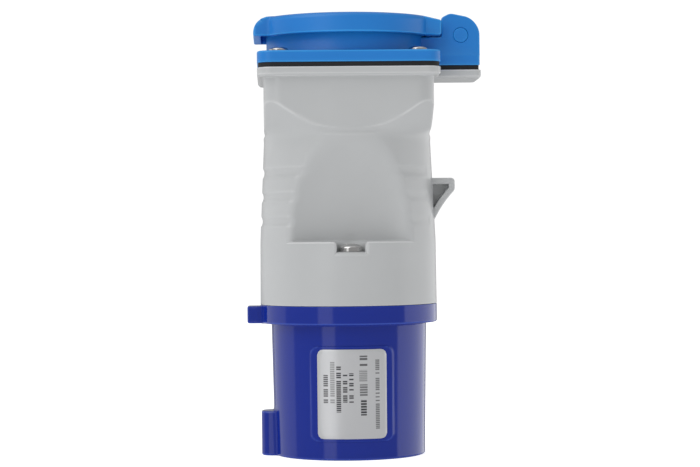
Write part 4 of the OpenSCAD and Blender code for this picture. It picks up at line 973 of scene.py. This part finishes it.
def lid_form(x, y, z):
    disc = meet(np.hypot(x, y) - LID_R, z - crown_z, r=LID_EDGE)
    tab = np.maximum(np.maximum(-tab_x - x, x), z - crown_z)
    form = join(disc, meet(tab, np.abs(y) - TAB_HALF, r=0.6), r=0.4)
    corner_x, corner_z = x + tab_x - TAB_ROUND, z - crown_z + TAB_ROUND
    rounded = np.hypot(np.minimum(corner_x, 0), np.maximum(corner_z, 0)) - TAB_ROUND
    form = np.where((corner_x < 0) & (corner_z > 0), np.maximum(form, rounded), form)
    slot_y = np.abs(np.abs(y) - (LID_SLOT_LOW + LID_SLOT_HIGH) / 2) - (LID_SLOT_HIGH - LID_SLOT_LOW) / 2
    form = cut(form, np.maximum(LID_SLOT_X - x, slot_y), r=0.2)
    return meet(form, LID_Z - z, r=0.35)


def lid_room_form(x, y, z):
    tab_room = plan_box(x + LID_ROOM_R / 2, y, LID_ROOM_R / 2 + 0.3, TAB_HALF - SKIRT, r=0.5)
    room = np.minimum(np.hypot(x, y) - LID_ROOM_R, tab_room)
    return meet(room, z - CEILING_Z, r=0.5)


print("lid", 2 * LID_R, "mm across,", round(crown_z - LID_Z, 2), "mm high")

# %% [markdown]
# Columns crowd together at the two slots that let the ears through and at the corners of the tab, and
# rows at the rounded edge of the crown. The flat crown and the flat ceiling are filled afterwards,
# because a ray at their own height would run along them.

# %% Sheet of the lid
LID_SPINE = 8.0
LID_SLOT_EDGE_X, TAB_ROOT_X = 24.2, 21.5
LAST_ROW = 0.004
slot_side = fan(*around_corner(LID_SLOT_EDGE_X, LID_SLOT_LOW, LID_SPINE, 0.7),
                *around_corner(LID_SLOT_EDGE_X, LID_SLOT_HIGH, LID_SPINE, 0.7), steps=90)
tab_side = fan(*around_corner(TAB_ROOT_X, TAB_HALF, LID_SPINE, 2.5),
               *around_corner(tab_x, TAB_HALF, LID_SPINE, 1.2), steps=100)
lid_half = stretch((0, 16), (LID_SPINE, 0))
lid_rays = stadium_rays(LID_SPINE, mirrored(lid_half), slot_side, tab_side)
lid_rows = stretch((LID_Z + EPS, 6), (LID_Z + 0.5, 4), (crown_z - LID_EDGE - 2.5, 10),
                   (crown_z - LID_EDGE, 14), (crown_z - 0.1, 5), (crown_z - LAST_ROW, 0))
lid_room_rows = stretch((LID_Z + EPS, 4), (CEILING_Z - 0.6, 6), (CEILING_Z - LAST_ROW, 0))
lid_outside = cast(lid_form, lid_rays, lid_rows)
lid_inside = cast(lid_room_form, lid_rays, lid_room_rows)
lid = bmesh.new()
lid_edges = rolled_sheet(lid, np.concatenate([lid_inside[::-1], lid_outside]))
for loop in split_by_height(lid_edges, (CEILING_Z + crown_z) / 2):
    bmesh.ops.triangle_fill(lid, edges=loop, use_beauty=True)
print("lid cap", len(lid_rays[0]), "columns")

# %% [markdown]
# At the hinge the cap has a flat shoulder outside each ear, and between the ears a neck with the two
# knuckles that turn on the pin. The shoulders are bevelled blocks that run into the disc, the knuckles
# are slabs like the ears.


# %% Shoulders, neck and knuckles
def block(bm, low, high, bevel, fall=0.0):
    """A bevelled block between two corners, in millimetres, whose top may fall towards +X."""
    low, high = Vector(low), Vector(high)
    middle = (low + high) / 2 * MM
    at = Matrix.Translation(middle) @ Matrix.Diagonal((*((high - low) * MM), 1))
    verts = bmesh.ops.create_cube(bm, size=1, matrix=at)["verts"]
    top_end = [v for v in verts if v.co.x > middle.x and v.co.z > middle.z]
    bmesh.ops.translate(bm, verts=top_end, vec=(0, 0, -fall * MM))
    bmesh.ops.bevel(bm, geom=edges_of(verts), offset=bevel * MM, segments=4, profile=0.5, affect="EDGES",
                    material=-1)


KNUCKLE_R, KNUCKLE_HALF, SPRING_HALF = 4.3, 6.2, 3.4
NECK_X, NECK_END, NECK_UP, NECK_PAST, NECK_SHORT = 22.0, 27.0, 0.3, 0.3, 1.6
SHOULDER_LOW_X, SHOULDER_X, SHOULDER_FALL = 20.5, 25.9, 1.3
knuckle_top = hinge_z + KNUCKLE_R


def knuckle_form(x, z):
    eye = np.hypot(x - hinge_x, z - hinge_z) - KNUCKLE_R
    neck = np.maximum(np.maximum(NECK_X - x, x - hinge_x), np.maximum(LID_Z - z, z - knuckle_top))
    return np.minimum(eye, neck)


for y_low, y_high in ((-TAB_HALF, -LID_SLOT_HIGH), (LID_SLOT_HIGH, TAB_HALF)):
    block(lid, (SHOULDER_LOW_X, y_low, LID_Z), (SHOULDER_X, y_high, crown_z), bevel=0.5,
          fall=SHOULDER_FALL)
for y_low in (-KNUCKLE_HALF, SPRING_HALF):
    pierced_slab(lid, knuckle_form, y_low, KNUCKLE_HALF - SPRING_HALF, edge=0.3, lip=0.1)
block(lid, (NECK_X, -SPRING_HALF - NECK_PAST, LID_Z + NECK_UP),
      (NECK_END, SPRING_HALF - NECK_SHORT, knuckle_top), bevel=0.3)
finish_piece("lid_shell", lid, "cover", "socket_blue", "lid")

# %% [markdown]
# ## Turned pieces
# Screws and pins are turned or headed from wire, so each is a half profile spun once round its axis. A
# cross recess is cut into the screw heads with a boolean, once, and the finished screw is copied to every
# place. Modelling the recess into the spun mesh would need its faces re-cut by hand.

# %% Turned profiles
AXIS_R = 0.001


def turned(bm, profile, segments=48):
    """Spins a half profile of radius and height round Z and closes its ends."""
    verts = [bm.verts.new(Vector((r, 0, z)) * MM) for r, z in profile]
    edges = [bm.edges.new(pair) for pair in zip(verts, verts[1:])]
    bmesh.ops.spin(bm, geom=verts + edges, cent=(0, 0, 0), axis=(0, 0, 1), angle=math.tau, steps=segments,
                   use_merge=True)
    bmesh.ops.remove_doubles(bm, verts=bm.verts, dist=SEAM)
    bmesh.ops.recalc_face_normals(bm, faces=bm.faces)
    bmesh.ops.holes_fill(bm, edges=[e for e in bm.edges if e.is_boundary])


def linked_object(name, bm):
    """A plain object of a bmesh, in the scene; the bmesh is left empty."""
    obj = bpy.data.objects.new(name, bpy.data.meshes.new(name))
    bm.to_mesh(obj.data)
    bm.clear()
    scene.collection.objects.link(obj)
    return obj


# %% [markdown]
# A pan head is a low dome on a short straight wall. The recess is two tapered arms set crosswise. The
# boolean uses its exact solver, because the two arms overlap.

# %% Screw with a cross recess
HEAD_WALL, HEAD_CHAMFER = 0.4, 0.12
RECESS_L, RECESS_W, RECESS_TAPER, RECESS_Z = 1.7, 0.36, 0.55, 0.85


def screw_mesh(name, head_r, head_h, shank_r, shank_l):
    """A pan-head screw with a cross recess; its head stands on z = 0."""
    dome = [(head_r * math.sin(a), head_h * (HEAD_WALL + (1 - HEAD_WALL) * math.cos(a)))
            for a in np.linspace(AXIS_R, math.pi / 2, 10)]
    bm = bmesh.new()
    turned(bm, [*dome, (head_r, HEAD_CHAMFER), (head_r - HEAD_CHAMFER, 0), (shank_r, 0),
                (shank_r, -shank_l), (AXIS_R, -shank_l)])
    body = linked_object(name, bm)
    for turn_deg in (0, 90):
        arm = bmesh.ops.create_cube(bm, size=1)["verts"]
        for v in arm:
            narrow = 1 if v.co.z > 0 else RECESS_TAPER
            v.co.x *= RECESS_L * head_r * narrow
            v.co.y *= RECESS_W * head_r * narrow
            v.co.z = head_h * (RECESS_Z + v.co.z)
        bmesh.ops.rotate(bm, verts=arm, matrix=Matrix.Rotation(math.radians(turn_deg), 3, "Z"))
    bmesh.ops.scale(bm, vec=(MM, MM, MM), verts=bm.verts)
    cutter = linked_object(name + "_recess", bm)
    bm.free()
    boolean = body.modifiers.new("recess", "BOOLEAN")
    boolean.object = cutter
    boolean.solver = "EXACT"
    boolean.use_self = True
    bpy.context.view_layer.update()
    mesh = bpy.data.meshes.new_from_object(body.evaluated_get(bpy.context.evaluated_depsgraph_get()))
    for obj in (body, cutter):
        bpy.data.objects.remove(obj)
    print(name, len(mesh.polygons), "faces")
    return mesh


# %% [markdown]
# Two screws in the ledges hold the shroud, and four hold the socket's plate. No two were tightened to the
# same angle, so each copy is turned by its own.

# %% Screws in their places
LEDGE_TURNS, PLATE_TURNS = (38, 65), ((-1, -1, 10), (1, -1, 55), (1, 1, 30), (-1, 1, 75))
PLATE_SCREW = 19.0


def set_screws(name, node, mesh, places):
    """Copies of one screw, each at a place and turned by its own angle, as one piece."""
    bm = bmesh.new()
    for x, y, z, angle in places:
        before = set(bm.verts)
        bm.from_mesh(mesh)
        new = [v for v in bm.verts if v not in before]
        at = Matrix.Translation(Vector((x, y, z)) * MM) @ Matrix.Rotation(math.radians(angle), 4, "Z")
        bmesh.ops.transform(bm, verts=new, matrix=at)
    finish_piece(name, bm, "adapter", "steel", node)


ledge_screw = screw_mesh("ledge_screw", head_r=3.3, head_h=2.3, shank_r=1.5, shank_l=8)
plate_screw = screw_mesh("plate_screw", head_r=2.65, head_h=1.3, shank_r=1.5, shank_l=8)
set_screws("ledge_screws", "housing_screws", ledge_screw,
           [(0, y, SEAT_Z, turn_deg) for y, turn_deg in zip((-LEDGE_SCREW_Y, LEDGE_SCREW_Y), LEDGE_TURNS)])
set_screws("plate_screws", "flange_screws", plate_screw,
           [(x * PLATE_SCREW, y * PLATE_SCREW, FACE_Z, turn_deg) for x, y, turn_deg in PLATE_TURNS])

# %% [markdown]
# The hinge pin is flush with both ears. Its ends are chamfered, so that a fine groove shows between pin
# and ear, and one more circle inside the chamfer keeps the painted edge highlight off the flat end.

# %% Hinge pin
PIN_CHAMFER, PIN_FLAT = 0.2, 0.4
axle = bmesh.new()
pin_line = [(AXIS_R, ear_out), (pin_r - PIN_FLAT, ear_out), (pin_r - PIN_CHAMFER, ear_out),
            (pin_r, ear_out - PIN_CHAMFER)]
turned(axle, [(r, -y) for r, y in pin_line] + pin_line[::-1])
bmesh.ops.rotate(axle, verts=axle.verts, matrix=Matrix.Rotation(math.radians(90), 3, "X"))
bmesh.ops.translate(axle, verts=axle.verts, vec=Vector((hinge_x, 0, hinge_z)) * MM)
finish_piece("axle", axle, "adapter", "socket_blue", "hinge_pin")

# %% [markdown]
# ## Lid seal
# A flat ring of black rubber lies under the lid's ceiling and presses on the collar's mouth. A torus
# would be too round: its lower edges are only eased, so it is spun as well. It stays just inside the
# collar, out of sight while the lid is shut.

# %% Seal ring
seal_low, seal_high = span("lid_seal")
SEAL_W, SEAL_EDGE, SEAL_GAP = 4.0, 0.3, 0.1
seal_r = COLLAR_R - SEAL_GAP
seal_in = seal_r - SEAL_W
seal_line = [(seal_in, seal_high.z), (seal_r, seal_high.z), (seal_r, seal_low.z + SEAL_EDGE),
             (seal_r - SEAL_EDGE, seal_low.z), (seal_in + SEAL_EDGE, seal_low.z),
             (seal_in, seal_low.z + SEAL_EDGE), (seal_in, seal_high.z)]
seal = bmesh.new()
turned(seal, seal_line, segments=96)
finish_piece("seal_ring", seal, "cover", "black_rubber", "lid_seal")

# %% [markdown]
# ## Rating label
# The label is a silver film on the raised pad. A flat plane shrunk onto the shroud would do, but its
# round corners need a fine outline. It is a disc of rings whose outline is a rectangle with round
# corners, bent round the shroud. Its print is rows of plain dark bars.

# %% Label sheet
LABEL_HALF_W, LABEL_CORNER, LABEL_SHRINK = 9.7, 1.6, 0.02
LABEL_LOW, LABEL_SKIN, LABEL_EDGE, LABEL_EDGE_FALL = 0.03, 0.15, 0.04, 0.02
LABEL_STEP_DEG = 3
label_low, label_high = span("rating_label")
label_mid_z = (label_low.z + label_high.z) / 2
label_half_h = (label_high.z - label_low.z) / 2 - LABEL_SHRINK


def bent(u, v, out):
    """A point on the shroud: u along its round, v above the label's middle, out from the pad."""
    z = label_mid_z + v
    pad_r = float(shroud_r(z)) + PAD_T
    angle = u / pad_r
    return (pad_r + out) * math.sin(angle), -(pad_r + out) * math.cos(angle), z


def label_form(u, v, inset):
    return plan_box(u, v, LABEL_HALF_W, label_half_h, LABEL_CORNER) + inset


angle = np.radians(np.arange(0, 360, LABEL_STEP_DEG))
label_rays = np.zeros((len(angle), 2)), np.stack([np.cos(angle), np.sin(angle)], 1)
outline, top_line = cast(label_form, label_rays, [0.0, LABEL_EDGE])[..., :2]
label_lines = [(outline * 0, LABEL_LOW), (outline, LABEL_LOW), (outline, LABEL_SKIN - LABEL_EDGE_FALL)]
label_lines += [(top_line * s / 10, LABEL_SKIN) for s in range(10, -1, -1)]
label = bmesh.new()
rolled_sheet(label, np.array([[bent(u, v, out) for u, v in line] for line, out in label_lines]))
print("label", 2 * LABEL_HALF_W, "by", round(2 * label_half_h, 2), "mm,", len(label.faces), "faces")

# %% [markdown]
# The print is a node group, "bar row": a rectangle on the label that is chopped into short bars of random
# presence. A row is placed by its middle and half sizes in metres, because Object coordinates are metres.
# The film itself is a silvered plastic: half metal, fairly rough, so it shows a soft bright band where
# the key light stands.

# %% Bars of print
BAR_GAP, BAR_MISSING = 0.3, 0.14


def math_node(tree, operation, *values):
    """The result of a Math node; each value is a number or a socket."""
    node = tree.nodes.new("ShaderNodeMath")
    node.operation = operation
    for socket, value in zip(node.inputs, values):
        if isinstance(value, float):
            socket.default_value = value
        else:
            tree.links.new(value, socket)
    return node.outputs[0]


def make_bar_row():
    """Node group: 1 on the bars of one upright row of print, 0 elsewhere."""
    group = bpy.data.node_groups.new("bar_row", "ShaderNodeTree")
    for name in ("Middle X", "Half X", "Middle Z", "Half Z", "Bar", "Seed"):
        group.interface.new_socket(name, in_out="INPUT", socket_type="NodeSocketFloat")
    group.interface.new_socket("Mask", in_out="OUTPUT", socket_type="NodeSocketFloat")
    inside = group.nodes.new("NodeGroupInput").outputs
    coords = group.nodes.new("ShaderNodeTexCoord")
    split = group.nodes.new("ShaderNodeSeparateXYZ")
    group.links.new(coords.outputs["Object"], split.inputs["Vector"])
    in_x = math_node(group, "COMPARE", split.outputs["X"], inside["Middle X"], inside["Half X"])
    in_z = math_node(group, "COMPARE", split.outputs["Z"], inside["Middle Z"], inside["Half Z"])
    count = math_node(group, "DIVIDE", split.outputs["Z"], inside["Bar"])
    bar = math_node(group, "GREATER_THAN", math_node(group, "FRACT", count), BAR_GAP)
    dice = group.nodes.new("ShaderNodeTexWhiteNoise")
    dice.noise_dimensions = "1D"
    number = math_node(group, "ADD", math_node(group, "FLOOR", count), inside["Seed"])
    group.links.new(number, dice.inputs["W"])
    kept = math_node(group, "GREATER_THAN", dice.outputs["Value"], BAR_MISSING)
    area = math_node(group, "MULTIPLY", in_x, in_z)
    mask = math_node(group, "MULTIPLY", area, math_node(group, "MULTIPLY", bar, kept))
    group.links.new(mask, group.nodes.new("NodeGroupOutput").inputs["Mask"])
    return group


bar_row = make_bar_row()
print("group", bar_row.name, [s.name for s in bar_row.interface.items_tree])

# %% [markdown]
# Each row has its middle and half size across, its middle and half size upwards from the label's middle,
# the length of a bar and the strength of its ink, as a share.

# %% Silvered film
BAR_ROWS = (
    (-7.2, 0.6, 1.4, 3.9, 0.56, 0.85),
    (-5.4, 0.6, 3.2, 5.7, 0.6, 0.5),
    (-3.7, 0.62, 1.9, 6.8, 0.56, 0.95),
    (-1.95, 0.6, 1.7, 3.9, 0.56, 0.95),
    (-0.25, 0.6, 1.75, 4.0, 0.56, 0.95),
    (3.1, 1.05, 8.8, 1.7, 0.8, 0.85),
    (3.0, 1.1, 5.0, 1.6, 0.5, 0.55),
    (3.1, 1.05, 1.1, 1.6, 0.7, 0.75),
    (3.1, 0.8, -3.6, 2.2, 0.75, 0.95),
    (6.9, 0.55, 0.4, 10.0, 0.5, 0.75),
)
SEED_FIRST, SEED_STEP = 3, 7.0
FILM_METAL = 0.45
INK = srgb(44, 44, 48)


def label_film():
    """Silvered film with rows of bars in several strengths of ink."""
    material = moulded("label_silver", srgb(216, 217, 219), rough=(0.3, 0.36), grain=700, depth=0.0005,
                       drift=0.03, metallic=FILM_METAL)
    tree = material.node_tree
    shader = tree.nodes["Principled BSDF"]
    ink = None
    for i, (x, half_x, z, half_z, bar, strength) in enumerate(BAR_ROWS):
        row = tree.nodes.new("ShaderNodeGroup")
        row.node_tree = bar_row
        seed = SEED_STEP * i + SEED_FIRST
        values = (x * MM, half_x * MM, label_mid_z * MM + z * MM, half_z * MM, bar * MM, seed)
        for socket, value in zip(row.inputs, values):
            socket.default_value = value
        inked = math_node(tree, "MULTIPLY", row.outputs["Mask"], strength)
        ink = inked if ink is None else math_node(tree, "MAXIMUM", ink, inked)
    film = shader.inputs["Base Color"].links[0].from_socket
    tree.links.new(mix_colours(tree, ink, film, INK), shader.inputs["Base Color"])
    tree.links.new(spread(tree, ink, FILM_METAL, 0.0), shader.inputs["Metallic"])
    return material


finishes["label_silver"] = label_film()
finish_piece("label_sheet", label, "adapter", "label_silver", "rating_label")

# %% [markdown]
# ## Lid spring
# A torsion spring closes the lid. One leg stands on the plate, four coils go round the pin, the other leg
# lies under the lid. A bevelled curve could follow the wire, but a spin with a step along its axis makes
# the coils directly.

# %% Torsion spring
WIRE_R, WIRE_SIDES, LEG_GAP = 0.4, 12, 0.1
COIL_R, COIL_HALF, COIL_TURNS, COIL_STEPS = 3.1, 2.7, 4, 20
coil = bmesh.new()
foot = circle_loop(coil, hinge_x + COIL_R, -COIL_HALF, FACE_Z + LEG_GAP, WIRE_R, WIRE_SIDES)
bmesh.ops.holes_fill(coil, edges=foot)
loop = ring(coil, foot, lambda co: Vector((co.x, co.y, hinge_z * MM)))
steps = COIL_TURNS * COIL_STEPS + COIL_STEPS // 4
loop_verts = list(dict.fromkeys(v for e in loop for v in e.verts))
spun = bmesh.ops.spin(coil, geom=loop + loop_verts, cent=Vector((hinge_x, 0, hinge_z)) * MM,
                      axis=(0, -1, 0), dvec=(0, 2 * COIL_HALF / steps * MM, 0),
                      angle=math.radians(90 + 360 * COIL_TURNS), steps=steps)["geom_last"]
loop = [g for g in spun if isinstance(g, bmesh.types.BMEdge)]
loop = ring(coil, loop, lambda co: Vector(((LID_ROOM_R + WIRE_R) * MM, co.y, co.z)))
bmesh.ops.holes_fill(coil, edges=loop)
spring = dress("spring_wire", coil, "steel", "lid_spring")
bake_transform(spring)

# %% [markdown]
# ## Remaining nodes
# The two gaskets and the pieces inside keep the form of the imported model, whose solids are already right.
# They could be modelled anew, but nothing of it would show. Each takes the finish of the slot that the
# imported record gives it.

# %% Finishes of the remaining nodes
plain = [part for part in frame["record"]["subparts"] if part["node"] not in dressed]
for part in plain:
    materials = nodes[part["node"]].data.materials
    materials.clear()
    materials.append(finishes[part["material_slot"]])
print("finished as they are:", [part["node"] for part in plain])

# %% [markdown]
# ## Studio
# The object stands on a pale floor in a white tent. A lit cyclorama would need more lights to stay even.
# The camera sees plain white, while the light that the tent gives is weaker, so that the forms keep their
# shading. The floor glows, more for the camera than for the object, like a lit table, and glossy skins do
# not mirror it, so the bands of light run down the whole shroud.

# %% Floor and tent
FLOOR_HALF = 6
FLOOR_LIGHT, FLOOR_SEEN = 0.36, 0.75
TENT_LIGHT, TENT_SEEN = 0.38, 1.05
WHITE = (1, 1, 1, 1)
floor_bm = bmesh.new()
bmesh.ops.create_grid(floor_bm, x_segments=1, y_segments=1, size=FLOOR_HALF)
floor = linked_object("floor", floor_bm)
floor_bm.free()
floor.visible_glossy = False
pale = moulded("pale_floor", (0.9, 0.9, 0.9, 1), rough=(0.7, 0.8), grain=40, depth=0.001, drift=0.005)
pale_tree = pale.node_tree
pale_shader = pale_tree.nodes["Principled BSDF"]
pale_shader.inputs["Specular IOR Level"].default_value = 0.1
pale_shader.inputs["Emission Color"].default_value = WHITE
to_camera = pale_tree.nodes.new("ShaderNodeLightPath").outputs["Is Camera Ray"]
floor_glow = spread(pale_tree, to_camera, FLOOR_LIGHT, FLOOR_SEEN)
pale_tree.links.new(floor_glow, pale_shader.inputs["Emission Strength"])
floor.data.materials.append(pale)

scene.world = bpy.data.worlds.new("studio")
scene.world.use_nodes = True
tent = scene.world.node_tree
backdrop = tent.nodes["Background"]
backdrop.inputs["Color"].default_value = WHITE
to_camera = tent.nodes.new("ShaderNodeLightPath").outputs["Is Camera Ray"]
tent.links.new(spread(tent, to_camera, TENT_LIGHT, TENT_SEEN), backdrop.inputs["Strength"])
print("floor", 2 * FLOOR_HALF, "m, tent at", TENT_LIGHT, "of white")

# %% [markdown]
# A tall, narrow softbox stands thirty degrees left of the camera: its reflection is the upright bright
# band on the shroud. A panel at each side, a little behind the object, lightens the two edges, and two
# soft lights from above shape the lid and the front. Each light has its place, its aim, its width and
# height, and how bright it looks.

# %% Lights
FOOT, MIDDLE = (0, 0, 0), (0, 0, 0.06)
LIGHTS = {
    "overhead": ((0, 0.1, 1.3), FOOT, 1.4, 1.4, 0.5),
    "top_left": ((-0.6, -0.55, 0.95), MIDDLE, 1.0, 1.0, 1.45),
    "key": ((-0.5, -0.8, 0.0), FOOT, 0.32, 1.2, 0.75),
    "left_panel": ((-0.85, 0.53, 0.1), MIDDLE, 1.2, 0.9, 0.42),
    "right_panel": ((0.91, 0.42, 0.03), MIDDLE, 1.7, 0.5, 1.0),
}


def softbox(name, place, aim, width, height, radiance):
    """An area light at a place, turned to a point; its power follows from how bright it looks."""
    data = bpy.data.lights.new(name, "AREA")
    data.shape = "RECTANGLE"
    data.size, data.size_y = width, height
    data.energy = radiance * math.pi * width * height
    light = bpy.data.objects.new(name, data)
    scene.collection.objects.link(light)
    turn_to = (Vector(aim) - Vector(place)).to_track_quat("-Z", "Y")
    light.matrix_world = Matrix.Translation(place) @ turn_to.to_matrix().to_4x4()


for name, light in LIGHTS.items():
    softbox(name, *light)
scene.view_settings.view_transform = "Standard"
print("lights", list(LIGHTS))
